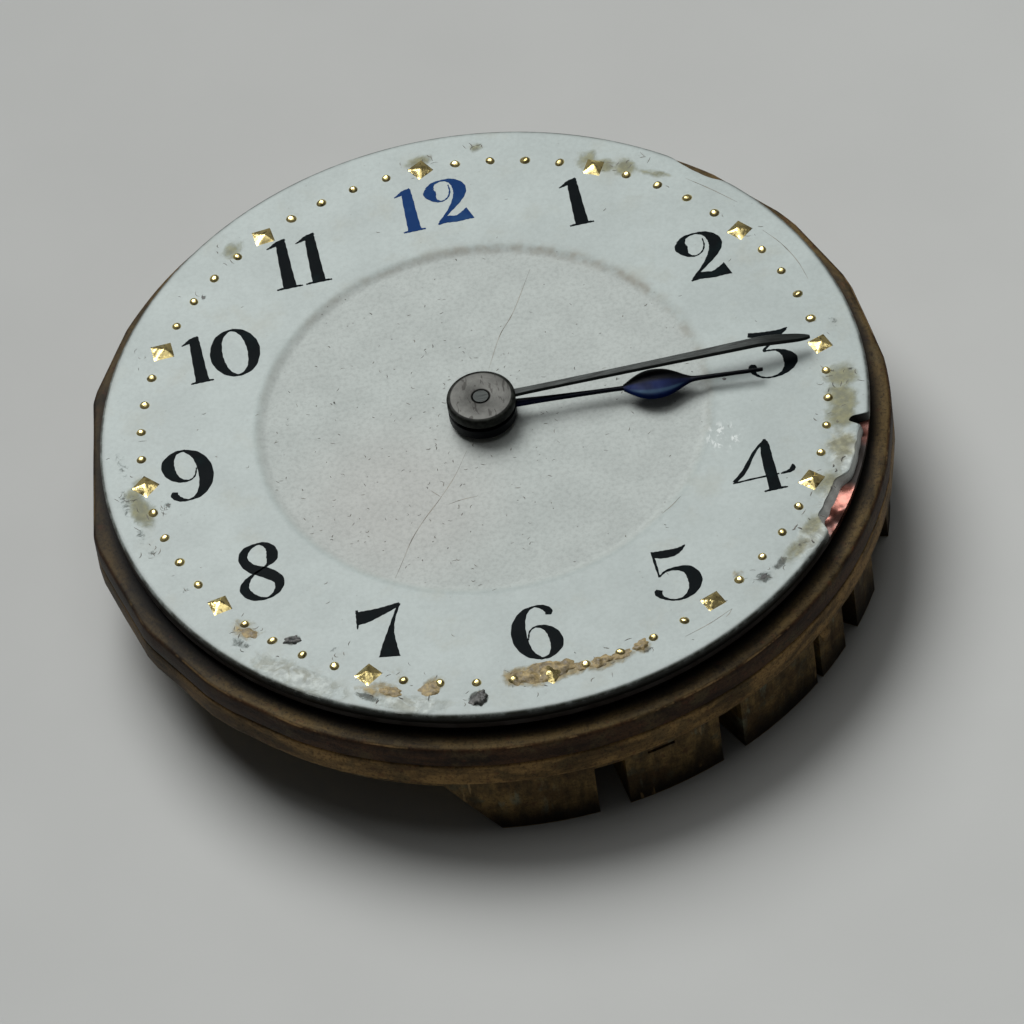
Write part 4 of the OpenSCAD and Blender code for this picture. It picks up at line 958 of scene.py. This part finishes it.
# Cracks and scratches, as points in millimetres
CRACKS = [[(-0.9, -1.4), (-1.5, -2.4), (-2.2, -3.3), (-3, -4.2), (-3.6, -5), (-4.1, -5.9), (-4.5, -6.6)],
          [(-2.2, -3.3), (-2.35, -3.1), (-2.5, -2.9)], [(-2, -3.7), (-1.5, -3.62), (-0.9, -3.6)],
          [(3, 6.6), (2, 4.7), (1.3, 3.7), (0.6, 2.2)], [(4.95, -12.1), (5.9, -11.75), (6.8, -11.3)],
          [(6.8, -11.3), (6.65, -11.5), (6.5, -11.62)], [(5.3, -6.3), (5.7, -6.05), (6.1, -5.7)],
          [(11.6, 6), (12.1, 5.2), (12.5, 4.2), (12.7, 3.2)], [(9.4, 9.3), (10.2, 8.5), (11, 7.6)]]


def dial_height(r, sizes):
    """Height of the dial's surface at a radius: the sunk centre, its smooth step and the ring."""
    s = np.clip((r - sizes.sunk / MM + STEP_INSIDE) / STEP_WIDE, 0, 1)
    return step_height(s, sizes.sunk_depth / MM)


def hair(line, half, sizes, height=0.004):
    """A hair line on the dial: a flat ridge along a smooth path, thinning out at both ends."""
    path = smooth_through(line, 5)
    way = np.linspace(0, math.pi, len(path))
    wide = half * (0.25 + 0.75 * np.sin(way)) * (1 + 0.3 * np.sin(way * 9 + path[0, 0] * 5))
    floor = dial_height(np.hypot(path[:, 0], path[:, 1]), sizes)
    share = np.broadcast_to([-1.0, -0.6, 0.6, 1.0], (len(path), 4))
    lift = np.broadcast_to([-0.006, height, height, -0.006], (len(path), 4))
    return carried(path, wide, np.stack([share, floor[:, None] + lift], -1))


def strewn_hairs(spots, count, seed, length, half, sizes):
    """Short bent dashes strewn over round spots (x, y, radius): start, heading and bend are random."""
    dice = np.random.default_rng(seed)
    shapes = []
    for _ in range(count):
        x, y, radius = spots[dice.integers(len(spots))]
        way, away = dice.uniform(0, TURN), radius * math.sqrt(dice.uniform(0, 1))
        x, y = x + away * math.cos(way), y + away * math.sin(way)
        if math.hypot(x, y) > DIAL_R - 0.35:
            continue
        heading, bend = dice.uniform(0, TURN), dice.normal(0, 0.8)
        long = length * dice.uniform(0.3, 1.0)
        line = []
        for _ in range(4):
            line.append((x, y))
            x, y = x + long / 3 * math.cos(heading), y + long / 3 * math.sin(heading)
            heading += bend * 0.5
        shapes.append(hair(line, half * dice.uniform(0.5, 1.3), sizes))
    return shapes


def lump_shape(x, y, length, width, turn, height, seed):
    """A crust: rings of points inside a wavy outline, height = h (1 - s^2)^0.5 times lumpy noise."""
    rings, spokes = 9, 40
    a = np.linspace(0, TURN, spokes, endpoint=False)
    s = np.linspace(0, 1, rings)
    outline = 1 + ripple(a, seed, (2, 3, 5, 8), 0.45)
    u = (s[:, None] * outline * np.cos(a)) * length
    v = (s[:, None] * outline * np.sin(a)) * width
    px, py = turned_to(x, y, math.radians(turn), u, v)
    lumpy = 0.75 + 0.5 * clumps(px, py, seed, 0.09)
    z = Z_DIAL - 0.01 + height * np.sqrt(1 - s[:, None] ** 2) * np.clip(lumpy, 0.25, 1.3)
    return np.stack([px, py, z], -1).reshape(-1, 3), grid_quads(rings, spokes, False, True)


# How each stud is turned, from 12 round, in degrees, and how far studs and dots reach into the enamel
STUD_TURNS = (30, 62, 40, 20, 45, 22, 50, 35, 12, 42, 2, 6)
FOOT_SUNK = 0.02


def stud_shape(x, y, turn, side, height, seed):
    """A square point: height falls with the larger of the two distances, softened at the ridges.

    Height = h (1 - (|u|^9 + |v|^9)^(1/9)), over u and v from -1 to 1.
    """
    dice = np.random.default_rng(seed)
    count = 13
    u, v = np.meshgrid(np.linspace(-1, 1, count), np.linspace(-1, 1, count), indexing="ij")
    far = (np.abs(u) ** 9 + np.abs(v) ** 9) ** (1 / 9)
    z = height * np.clip(1 - far, 0, None) * (1 + 0.08 * np.sin(u * 3 + dice.uniform(0, TURN)))
    slip = dice.uniform(-0.1, 0.1, 2) * side
    half = side / 2 * (1 + dice.uniform(-0.05, 0.05))
    across = u * half + slip[0] * (1 - far)
    along = v * half * dice.uniform(0.9, 1.05) + slip[1] * (1 - far)
    px, py = turned_to(x, y, math.radians(turn), across, along)
    top = np.stack([px, py, Z_DIAL + z], -1)
    low = np.stack([px, py, np.full(u.shape, Z_DIAL - FOOT_SUNK)], -1)
    last = count * count - 1
    corner = last - count + 1
    edge = np.concatenate([np.arange(count - 1), np.arange(count - 1, last, count),
                           np.arange(last, corner, -1), np.arange(corner, 0, -count)])
    points = np.vstack([top.reshape(-1, 3), low.reshape(-1, 3)[edge]])
    follow = count * count + np.arange(len(edge))
    skirt = np.stack([edge, np.roll(edge, -1), np.roll(follow, -1), follow], -1)
    return points, np.vstack([grid_quads(count, count), skirt])


def dome_shape(x, y, radius, height, seed):
    """A round dot with a flattened top that leans a little: height = h (1 - s^3) over radius = R s."""
    dice = np.random.default_rng(seed)
    s = np.array([0.0, 0.3, 0.55, 0.75, 0.9, 1.0])
    a = np.linspace(0, TURN, 16, endpoint=False)
    profile = np.stack([radius * s, Z_DIAL + height * (1 - s**3)], 1)
    profile = np.vstack([profile, [(radius, Z_DIAL - FOOT_SUNK)]])
    points, quads = turned(profile, a)
    lean = dice.normal((0.13, 0.05), (0.09, 0.08))
    raised = np.clip((points[:, 2] - Z_DIAL) / height, 0, 1)
    points[:, 2] += raised * (points[:, 0] * lean[0] + points[:, 1] * lean[1])
    k = dice.uniform(0.88, 1.12, 2)
    c, t = math.cos(seed), math.sin(seed)
    u = (points[:, 0] * c + points[:, 1] * t) * k[0]
    v = (points[:, 1] * c - points[:, 0] * t) * k[1]
    return np.stack([*turned_to(x, y, seed, u, v), points[:, 2]], 1), quads


def capped_rows(line):
    """Row numbers of a carried shape's line, the first and last twice, for the points that close its ends."""
    return np.concatenate([[0], np.arange(len(line)), [len(line) - 1]])


def hour_hand_shape(length, angle, low, thick):
    """Pear hand: a domed section carried along the hand, its half width swelling at the pear.

    Gives the shape and two marks for painted light: side, painted shade high on the far half and the shank,
    and pale, a painted highlight along the near edge.
    """
    widths = [(0.9, 0.2), (1.6, 0.17), (2.5, 0.13), (4.9, 0.09), (5.15, 0.16), (5.45, 0.4), (5.8, 0.62),
              (6.2, 0.715), (6.65, 0.66), (7.05, 0.47), (7.4, 0.24), (7.75, 0.11), (8.6, 0.085),
              (length - 0.55, 0.075), (length - 0.12, 0.07), (length, 0.04)]
    line = smooth_through(widths, 8)
    path = np.stack([line[:, 0] * math.sin(angle), line[:, 0] * math.cos(angle)], 1)
    t = np.linspace(-1, 1, 21)
    crown = np.sqrt(np.clip(1 - t * t, 0, 1))
    rise = thick * 0.45 + np.clip(line[:, 1] * 0.2, 0.03, 0.14)
    top = low + thick * 0.35 + rise[:, None] * crown[None, :]
    share = np.broadcast_to(t, top.shape)
    upper = np.stack([share, top], -1)
    under = np.stack([share[:, ::-1] * 0.96, np.full(top.shape, low)], -1)
    shape = carried(path, line[:, 1], np.concatenate([upper, under], 1))
    rows = capped_rows(line)
    across = np.concatenate([t, t[::-1]])
    # Marks for painted light: away and shank give painted shade, near gives a painted highlight.
    away = np.clip(across[None, :] * 4 + 0.5, 0, 1)
    shank = np.clip(1.4 - line[rows, 1] / 0.2, 0, 1)
    near = hump(across, -0.66, 0.10) * (np.arange(len(across)) < len(t))
    pale = near[None, :] * np.clip(line[rows, 1] / 0.25 - 1, 0, 1)[:, None] * 0.8
    return shape, np.maximum(away, shank[:, None]).ravel(), pale.ravel()


# How long the minute hand's bent tip is, and how far its point comes down
TIP_LENGTH = 1.95
TIP_DROP = 0.33


def minute_hand_shape(length, angle, low, thick):
    """Slim hand: a flat face and bevelled sides carried along it, widest before the rounded point; its mark
    side gives painted shade on the sides.

    Its tip is bent towards the dial: drop = TIP_DROP * (share of the bent length) ^ 1.4.
    """
    widths = [(0.9, 0.21), (2.0, 0.17), (6.0, 0.185), (length - 2.6, 0.235), (length - 1.4, 0.25),
              (length - 0.6, 0.21), (length - 0.2, 0.13), (length, 0.04)]
    line = smooth_through(widths, 10)
    bow = 0.02 * np.sin(line[:, 0] / length * math.pi)
    path = np.stack([line[:, 0] * math.sin(angle) + bow * math.cos(angle),
                     line[:, 0] * math.cos(angle) - bow * math.sin(angle)], 1)
    half_section = [(1, low + thick * 0.3), (0.74, low + thick * 0.8), (0.66, low + thick)]
    mirrored = [(-share, level) for share, level in half_section]
    section = np.array([(-0.9, low), *mirrored, (0.0, low + thick), *half_section[::-1], (0.9, low)])
    section = np.repeat(section[None], len(line), 0)
    bent = np.clip((line[:, 0] - length + TIP_LENGTH) / TIP_LENGTH, 0, 1)
    section[:, :, 1] -= TIP_DROP * bent[:, None] ** 1.4
    # Painted shade: side is high on the bevelled sides, and it also darkens the last part towards the tip.
    side = np.array([1, 1, 0.9, 0, 0, 0, 0.9, 1, 1])
    tip = np.clip((line[:, 0] - length + 2.6) / 1.2, 0, 1) * 0.75
    rows = capped_rows(line)
    return carried(path, line[:, 1], section), np.maximum(side[None, :], tip[rows, None]).ravel()


def collet_shape(radius, low, high):
    """The hour hand's collet: a ring with a small bevel round its top, turned round Z."""
    profile = [(0.86, low), (radius, low), (radius, high - 0.02), (radius - 0.03, high), (0.86, high)]
    return turned(profile, np.linspace(0, TURN, 96, endpoint=False), closed_profile=True)


def boss_shape(radius, low, high):
    """The polished boss: a drum with a small bevel round its flat top, turned round Z."""
    profile = [(0.3, low), (radius - 0.12, low), (radius - 0.01, low), (radius, low + 0.02),
               (radius, high - 0.09), (radius - 0.012, high - 0.05), (radius - 0.05, high - 0.012),
               (radius - 0.09, high), (0.36, high), (0.325, high - 0.02), (0.3, high - 0.05)]
    return turned(profile, np.linspace(0, TURN, 160, endpoint=False), closed_profile=True)


# Flats knocked on the plate's outer wall: middle as a clock angle, half width, both in degrees
FLATS = [(279.2, 12.5), (256, 7.5), (240, 6), (224, 5), (84, 7), (68, 6), (52, 6), (106, 5), (300, 6)]

# How far the wall stays inside the CAD rim, so that no wave passes it
INSIDE_BOX = 0.012


def rim_dents(r, z, a):
    """What the plate's outer wall lacks: flats where it was knocked, and a faint waviness.

    A flat is a chord, r = R cos(half width) / cos(angle from its middle).
    """
    degrees = np.degrees(a) % 360
    total = ripple(a, 11, (5, 9, 17, 31), 0.022)
    for middle, half in FLATS:
        off = np.abs((degrees - middle + 180) % 360 - 180)
        total += RIM_R * (math.cos(math.radians(half)) / np.cos(np.radians(np.minimum(off, half))) - 1)
    outer = np.clip((r - (RIM_R - 0.75)) / 0.5, 0, 1)
    return total * outer - INSIDE_BOX * outer


def rim_shape():
    """The plate's edge: its section turned round Z with dents, a V groove half way up and worn corners."""
    upper = [(1.6, -0.3), (1.35, -0.01), (1.2, 0.004), (0.9, 0.006), (0.6, 0.004), (0.3, 0.0),
             (0.14, -0.01), (0.06, -0.04), (0.015, -0.1), (0.0, -0.2), (0.0, -0.5), (0.0, -0.86),
             (0.02, -0.9), (0.075, -0.95), (0.02, -1.0), (0.0, -1.04), (0.0, -1.4)]
    lower = [(0.0, 0.18), (0.02, 0.08), (0.1, 0.01), (0.2, -0.004), (0.5, -0.002), (1.0, 0.3)]
    profile = [(RIM_R - inset, level + rise) for points, level in ((upper, Z_RIM), (lower, Z_FLANGE))
               for inset, rise in points]
    return turned(profile, np.linspace(0, TURN, 720, endpoint=False), closed_profile=True, bulge=rim_dents)


# Thickness of the flap's sheet
FLAP_THICK = 0.09


def flap_shape(clock, length, width):
    """A torn flap of the flange: a thin sheet hanging from the plate's lower edge and bent outwards.

    Its points run across (u) and down (v), and the inner face's rows follow in reverse.
    """
    wide, deep = 7, 15
    u, v = np.meshgrid(np.linspace(-0.5, 0.5, wide), np.linspace(0, 1, deep), indexing="ij")
    a = math.radians(clock) + (u * width * (1 - 0.35 * v) - 0.14 * v) / RIM_R
    r = RIM_R - 0.16 + 0.12 * np.sin(v * math.pi * 0.7) + 0.02 * clumps(u * 2, v * 2, 9, 0.4)
    z = Z_FLANGE + 0.12 - length * v * (1 - 0.12 * np.abs(u) * 2)
    points = np.concatenate([round_z(r, a, z), round_z(r - FLAP_THICK, a, z)[::-1]])
    ends = []
    for column in (0, deep - 1):
        left = np.arange(wide - 1) * deep + column
        right = (2 * wide - 1 - np.arange(wide - 1)) * deep + column
        ends.append(np.stack([left, left + deep, right - deep, right], -1))
    return points.reshape(-1, 3), np.vstack([grid_quads(2 * wide, deep, True, False), *ends])


def plate_core(name, body, finish):
    """A copy of the CAD plate, its wall drawn in behind the bars' walls so that the worn rim covers it."""
    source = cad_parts["main_plate"]
    mesh = source.data.copy()
    mesh.name = name
    co = np.zeros(len(mesh.vertices) * 3, np.float32)
    mesh.vertices.foreach_get("co", co)
    co = co.reshape(-1, 3).astype(float) / MM
    r = np.hypot(co[:, 0], co[:, 1])
    wall = (r > BAR_R + 0.05) & (co[:, 2] > Z_FLANGE - 0.01)
    scale = np.where(wall, (BAR_R - 0.08) / np.maximum(r, 1), 1)
    co[:, :2] *= scale[:, None]
    co[wall, 2] = np.clip(co[wall, 2], Z_FLANGE + 0.05, Z_RIM - 0.05)
    mesh.vertices.foreach_set("co", (co * MM).astype(np.float32).ravel())
    mesh.materials.clear()
    mesh.materials.append(finish)
    mesh.update()
    core = link(name, mesh)
    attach(core, body)
    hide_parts("main_plate")


# Operators


# Half the floor's side, and each lamp's diameter and place, in metres
FLOOR_HALF = 0.6
LAMPS = {"main_lamp": (0.31, (-0.086, 0.237, 0.36)), "top_lamp": (0.40, (0.0, 0.10, 0.4))}

# The camera fitted to the photograph: angles in degrees, distances in radii of the circle of markers
CAMERA_ELEVATION = 49.278
CAMERA_AZIMUTH = -4.447
CAMERA_ROLL = -8.621
CAMERA_BACK = 25.413
CAMERA_ACROSS = 0.08254
CAMERA_ABOVE = -0.28054
SENSOR_WIDTH = 36
LENS = 308.46


class MOVEMENT_OT_stage(bpy.types.Operator):
    """Floor, lamps, even light and the camera at the photograph's angle."""

    bl_idname = "movement.stage"
    bl_label = "Stage"

    def execute(self, context):
        scene = context.scene
        look = scene.movement_stage
        scene.view_settings.view_transform = "Standard"
        mesh = bpy.data.meshes.new("floor")
        corners = [(x * FLOOR_HALF, y * FLOOR_HALF, 0) for x, y in ((-1, -1), (1, -1), (1, 1), (-1, 1))]
        mesh.from_pydata(corners, [], [(0, 1, 2, 3)])
        mesh.materials.append(floor_finish(look.floor))
        link("floor", mesh)
        for name, watts in (("main_lamp", look.lamp), ("top_lamp", look.top)):
            self.lamp(name, watts, *LAMPS[name])
        world = bpy.data.worlds.new("studio")
        world.use_nodes = True
        light = world.node_tree.nodes["Background"].inputs
        light["Color"].default_value = (1.0, 1.0, 1.0, 1)
        light["Strength"].default_value = look.fill
        scene.world = world
        scene.camera = self.camera()
        return {"FINISHED"}

    def lamp(self, name, watts, size, place):
        """A round lamp that points at the origin."""
        light = bpy.data.lights.new(name, "AREA")
        light.shape = "DISK"
        light.size = size
        light.energy = watts
        lamp = link(name, light)
        lamp.location = place
        lamp.rotation_mode = "QUATERNION"
        lamp.rotation_quaternion = (-Vector(place)).to_track_quat("-Z", "Y")

    def camera(self):
        """A long lens that looks down along back, rolled about that line and slid across it."""
        elevation, azimuth, roll = (math.radians(v) for v in (CAMERA_ELEVATION, CAMERA_AZIMUTH, CAMERA_ROLL))
        back = Vector((math.sin(azimuth) * math.cos(elevation), -math.cos(azimuth) * math.cos(elevation),
                       math.sin(elevation)))
        right = (-back).cross(Vector((0, 0, 1))).normalized()
        up = right.cross(-back)
        across = right * math.cos(roll) + up * math.sin(roll)
        above = up * math.cos(roll) - right * math.sin(roll)
        slide = back * CAMERA_BACK + across * CAMERA_ACROSS + above * CAMERA_ABOVE
        lens = bpy.data.cameras.new("camera")
        lens.sensor_width = SENSOR_WIDTH
        lens.lens = LENS
        lens.clip_start = 0.01
        lens.clip_end = 10
        camera = link("camera", lens)
        camera.rotation_mode = "QUATERNION"
        camera.rotation_quaternion = Matrix((across, above, back)).transposed().to_quaternion()
        camera.location = Vector((0, 0, Z_DIAL * MM)) + slide * (MARKER_R * MM)
        return camera


class MOVEMENT_OT_dial(bpy.types.Operator):
    """Enamel dial with its sunk centre, chip and dirt, and the copper under it."""

    bl_idname = "movement.dial"
    bl_label = "Dial"

    def execute(self, context):
        sizes, colours = context.scene.movement_sizes, context.scene.movement_dial
        shape = enamel_shape(sizes)
        make_piece("enamel_dial", shape, "frame", enamel_finish(colours), ("dial_enamel",),
                   dial_marks(shape[0], sizes.sunk / MM))
        dress(copper_finish(context.scene.movement_metals), "dial_copper")
        return {"FINISHED"}


class MOVEMENT_OT_dirt(bpy.types.Operator):
    """Cracks, hair lines, specks and dried crusts on the dial."""

    bl_idname = "movement.dirt"
    bl_label = "Dirt"

    def execute(self, context):
        sizes, colours = context.scene.movement_sizes, context.scene.movement_dial
        soot = soot_finish(colours.crack)
        cracks = [hair(line, 0.020, sizes) for line in CRACKS]
        make_piece("dial_cracks", join_shapes(cracks), "frame", soot_finish(scaled(colours.crack, 1.9)))
        centre = [(0, 0, 7.9), (-2.5, -1.0, 5.5)]
        dirty = [(x, y, max(long, wide) * 1.5) for x, y, long, wide, _, _ in OLIVE + SOOT + TAN + CRUMB]
        specks = []
        for spots, count, seed, long, half in (
                (centre, 210, 4, 0.2, 0.021), (dirty, 190, 8, 0.34, 0.022),
                ([(0, 0, 13.4)], 60, 15, 0.2, 0.018)):
            specks += strewn_hairs(spots, count, seed, long, half, sizes)
        make_piece("dial_specks", join_shapes(specks), "frame", soot)
        for name, places, seed, finish in (
                ("tan_crusts", CRUSTS, 30,
                 crust_finish("tan_crust", scaled(colours.tan, 0.75), (0.42, 0.32, 0.15))),
                ("dark_flakes", FLAKES, 60,
                 crust_finish("dark_flake", (0.030, 0.032, 0.030), (0.17, 0.17, 0.16)))):
            lumps = [lump_shape(*place, number) for number, place in enumerate(places, seed)]
            make_piece(name, join_shapes(lumps), "frame", finish)
        return {"FINISHED"}


class MOVEMENT_OT_numerals(bpy.types.Operator):
    """Painted numerals, black with a blue twelve."""

    bl_idname = "movement.numerals"
    bl_label = "Numerals"

    def execute(self, context):
        colours = context.scene.movement_dial
        height = context.scene.movement_sizes.print_height / MM
        black = paint_finish("black_paint", colours.numeral, (0.005, 0.011, 0.012))
        blue = paint_finish("blue_paint", colours.twelve, (0.018, 0.06, 0.16))
        make_piece("black_numerals", painted(BLACK_NUMERALS, height), "frame", black)
        make_piece("blue_twelve", painted(BLUE_NUMERALS, height), "frame", blue)
        return {"FINISHED"}


class MOVEMENT_OT_markers(bpy.types.Operator):
    """Gilt hour studs and minute dots."""

    bl_idname = "movement.markers"
    bl_label = "Markers"

    def execute(self, context):
        sizes = context.scene.movement_sizes
        stud, stud_height, dot = sizes.stud / MM, sizes.stud_height / MM, sizes.dot / MM
        gilt = gilt_finish(context.scene.movement_metals)
        studs, dots = [], []
        for minute in range(60):
            a = math.radians(minute * 6)
            x, y = MARKER_R * math.sin(a), MARKER_R * math.cos(a)
            hour, between = divmod(minute, 5)
            if between:
                dots.append(dome_shape(x, y, dot, dot * 0.5, minute))
            else:
                studs.append(stud_shape(x, y, STUD_TURNS[hour], stud, stud_height, minute))
        make_piece("gilt_studs", join_shapes(studs), "frame", gilt, ("hour_studs",), sharp=25)
        make_piece("gilt_dots", join_shapes(dots), "frame", gilt, ("minute_dots",))
        return {"FINISHED"}


# Heights of the hands' undersides over the dial and their thickness, in millimetres
HOUR_HAND_RISE = 0.4
HOUR_HAND_THICK = 0.1
MINUTE_HAND_RISE = 0.82
MINUTE_HAND_THICK = 0.12


class MOVEMENT_OT_hands(bpy.types.Operator):
    """Blued pear hour hand, slim minute hand and the polished boss."""

    bl_idname = "movement.hands"
    bl_label = "Hands"

    def execute(self, context):
        metals, hands = context.scene.movement_metals, context.scene.movement_hands
        low, high = (corner[2] for corner in node_box("hour_hand"))
        shape, side, pale = hour_hand_shape(hands.hour_length / MM, hands.hour_at, Z_DIAL + HOUR_HAND_RISE,
                                            HOUR_HAND_THICK)
        collet = collet_shape(hands.collet / MM, low, high)
        count = len(collet[0])
        make_piece("hour_hand_pear", join_shapes([shape, collet]), "hour",
                   pear_finish(metals.blue), ("hour_hand",),
                   # Painted shade on the pear's far half and the shank, the collet nearly black all over, and
                   # a painted highlight along the pear's near edge.
                   {"side": np.concatenate([side, np.ones(count)]),
                    "pale": np.concatenate([pale, np.zeros(count)])})
        shape, side = minute_hand_shape(hands.minute_length / MM, hands.minute_at,
                                        Z_DIAL + MINUTE_HAND_RISE, MINUTE_HAND_THICK)
        make_piece("minute_hand_blade", shape, "centre", dark_steel_finish("minute_hand_steel", metals.hand),
                   (), {"side": side}, sharp=25)
        dress(dark_steel_finish("cannon_steel", metals.hand), "cannon_pinion")
        low, high = (corner[2] for corner in node_box("minute_hand"))
        radius = hands.boss / MM
        make_piece("hand_boss", boss_shape(radius, low, high), "centre", boss_finish(radius),
                   ("minute_hand",))
        return {"FINISHED"}


class MOVEMENT_OT_plate(bpy.types.Operator):
    """Main plate with its worn and dented rim and a torn flap of its flange."""

    bl_idname = "movement.plate"
    bl_label = "Plate"

    def execute(self, context):
        metals = context.scene.movement_metals
        plate_core("plate_middle", "frame", wall_finish(metals))
        worn = rim_finish(metals)
        flap = flap_shape(clock=136.6, length=0.85, width=0.62)
        make_piece("plate_rim", rim_shape(), "frame", worn, (), sharp=60)
        make_piece("torn_flap", flap, "frame", worn, (), sharp=30)
        return {"FINISHED"}


class MOVEMENT_OT_bars(bpy.types.Operator):
    """Bars and cocks with patinated outer walls, gilt inside and below."""

    bl_idname = "movement.bars"
    bl_label = "Bars"

    def execute(self, context):
        dress(wall_finish(context.scene.movement_metals), "barrel_bridge", "centre_cock", "third_cock",
              "fourth_cock", "escape_cock", "balance_cock", "pallet_cock")
        return {"FINISHED"}


class MOVEMENT_OT_works(bpy.types.Operator):
    """Wheels, pinions, springs, screws and jewels inside and below."""

    bl_idname = "movement.works"
    bl_label = "Works"

    def execute(self, context):
        metals = context.scene.movement_metals
        for kind, colour, nodes in (
                ("_brass", metals.wheel, ("barrel_drum", "barrel_cover", "centre_wheel", "third_wheel",
                                          "fourth_wheel", "escape_wheel", "minute_wheel", "hour_wheel")),
                ("_steel", metals.steel, ("ratchet_wheel", "crown_wheel", "crown_wheel_core",
                                          "cap_setting"))):
            for name in nodes:
                middle = tuple(sum(node_box(name)) / 2)
                dress(circular_finish(name + kind, colour, middle, 0.34), name)
        dress(frosted_finish("balance_gilding", metals.wheel, 0.2, 0.3), "balance_wheel", "balance_screws")
        dress(steel_finish("polished_steel", metals.steel, 0.26),
              "minute_wheel_pinion", "setting_wheel", "winding_stem", "winding_pinion",
              "sliding_clutch", "setting_lever", "yoke", "barrel_arbor", "click", "centre_pinion",
              "third_pinion", "fourth_pinion", "escape_pinion", "pallet_lever", "pallet_arbor",
              "balance_staff", "roller", "regulator")
        dress(steel_finish("spring_steel", scaled(metals.steel, 0.7), 0.3),
              "yoke_spring", "setting_lever_spring", "mainspring", "click_spring")
        dress(blued_finish("blued_screws", metals.blue), "setting_lever_screw", "ratchet_screw",
              "crown_wheel_screw", "pallet_cock_screw", "hairspring", "bar_screws", "dial_screws")
        dress(jewel_finish(metals.jewel), "pallet_stones", "hole_jewels")
        return {"FINISHED"}


OPERATORS = (MOVEMENT_OT_stage, MOVEMENT_OT_dial, MOVEMENT_OT_dirt, MOVEMENT_OT_numerals, MOVEMENT_OT_markers,
             MOVEMENT_OT_hands, MOVEMENT_OT_plate, MOVEMENT_OT_bars, MOVEMENT_OT_works)
GROUPS = {"movement_sizes": DialSizes, "movement_dial": DialColours, "movement_hands": HandSizes,
          "movement_metals": MetalColours, "movement_stage": StageLook}


class MOVEMENT_PT_panel(bpy.types.Panel):
    """Lists the movement's pieces, sizes and colours."""

    bl_label = "Bar movement"
    bl_idname = "MOVEMENT_PT_panel"
    bl_space_type = "VIEW_3D"
    bl_region_type = "UI"
    bl_category = "Movement"

    def draw(self, context):
        for name, kind in GROUPS.items():
            box = self.layout.box()
            for key in kind.__annotations__:
                box.prop(getattr(context.scene, name), key)
        for operator in OPERATORS:
            self.layout.operator(operator.bl_idname)


CLASSES = (*GROUPS.values(), *OPERATORS, MOVEMENT_PT_panel)


def register():
    for cls in CLASSES:
        bpy.utils.register_class(cls)
    for name, kind in GROUPS.items():
        setattr(bpy.types.Scene, name, bpy.props.PointerProperty(type=kind))


def unregister():
    for name in GROUPS:
        delattr(bpy.types.Scene, name)
    for cls in reversed(CLASSES):
        bpy.utils.unregister_class(cls)


def main():
    register()
    bpy.ops.movement.stage()
    bpy.ops.movement.dial()
    bpy.ops.movement.dirt()
    bpy.ops.movement.numerals()
    bpy.ops.movement.markers()
    bpy.ops.movement.hands()
    bpy.ops.movement.plate()
    bpy.ops.movement.bars()
    bpy.ops.movement.works()


if __name__ == "__main__":
    main()
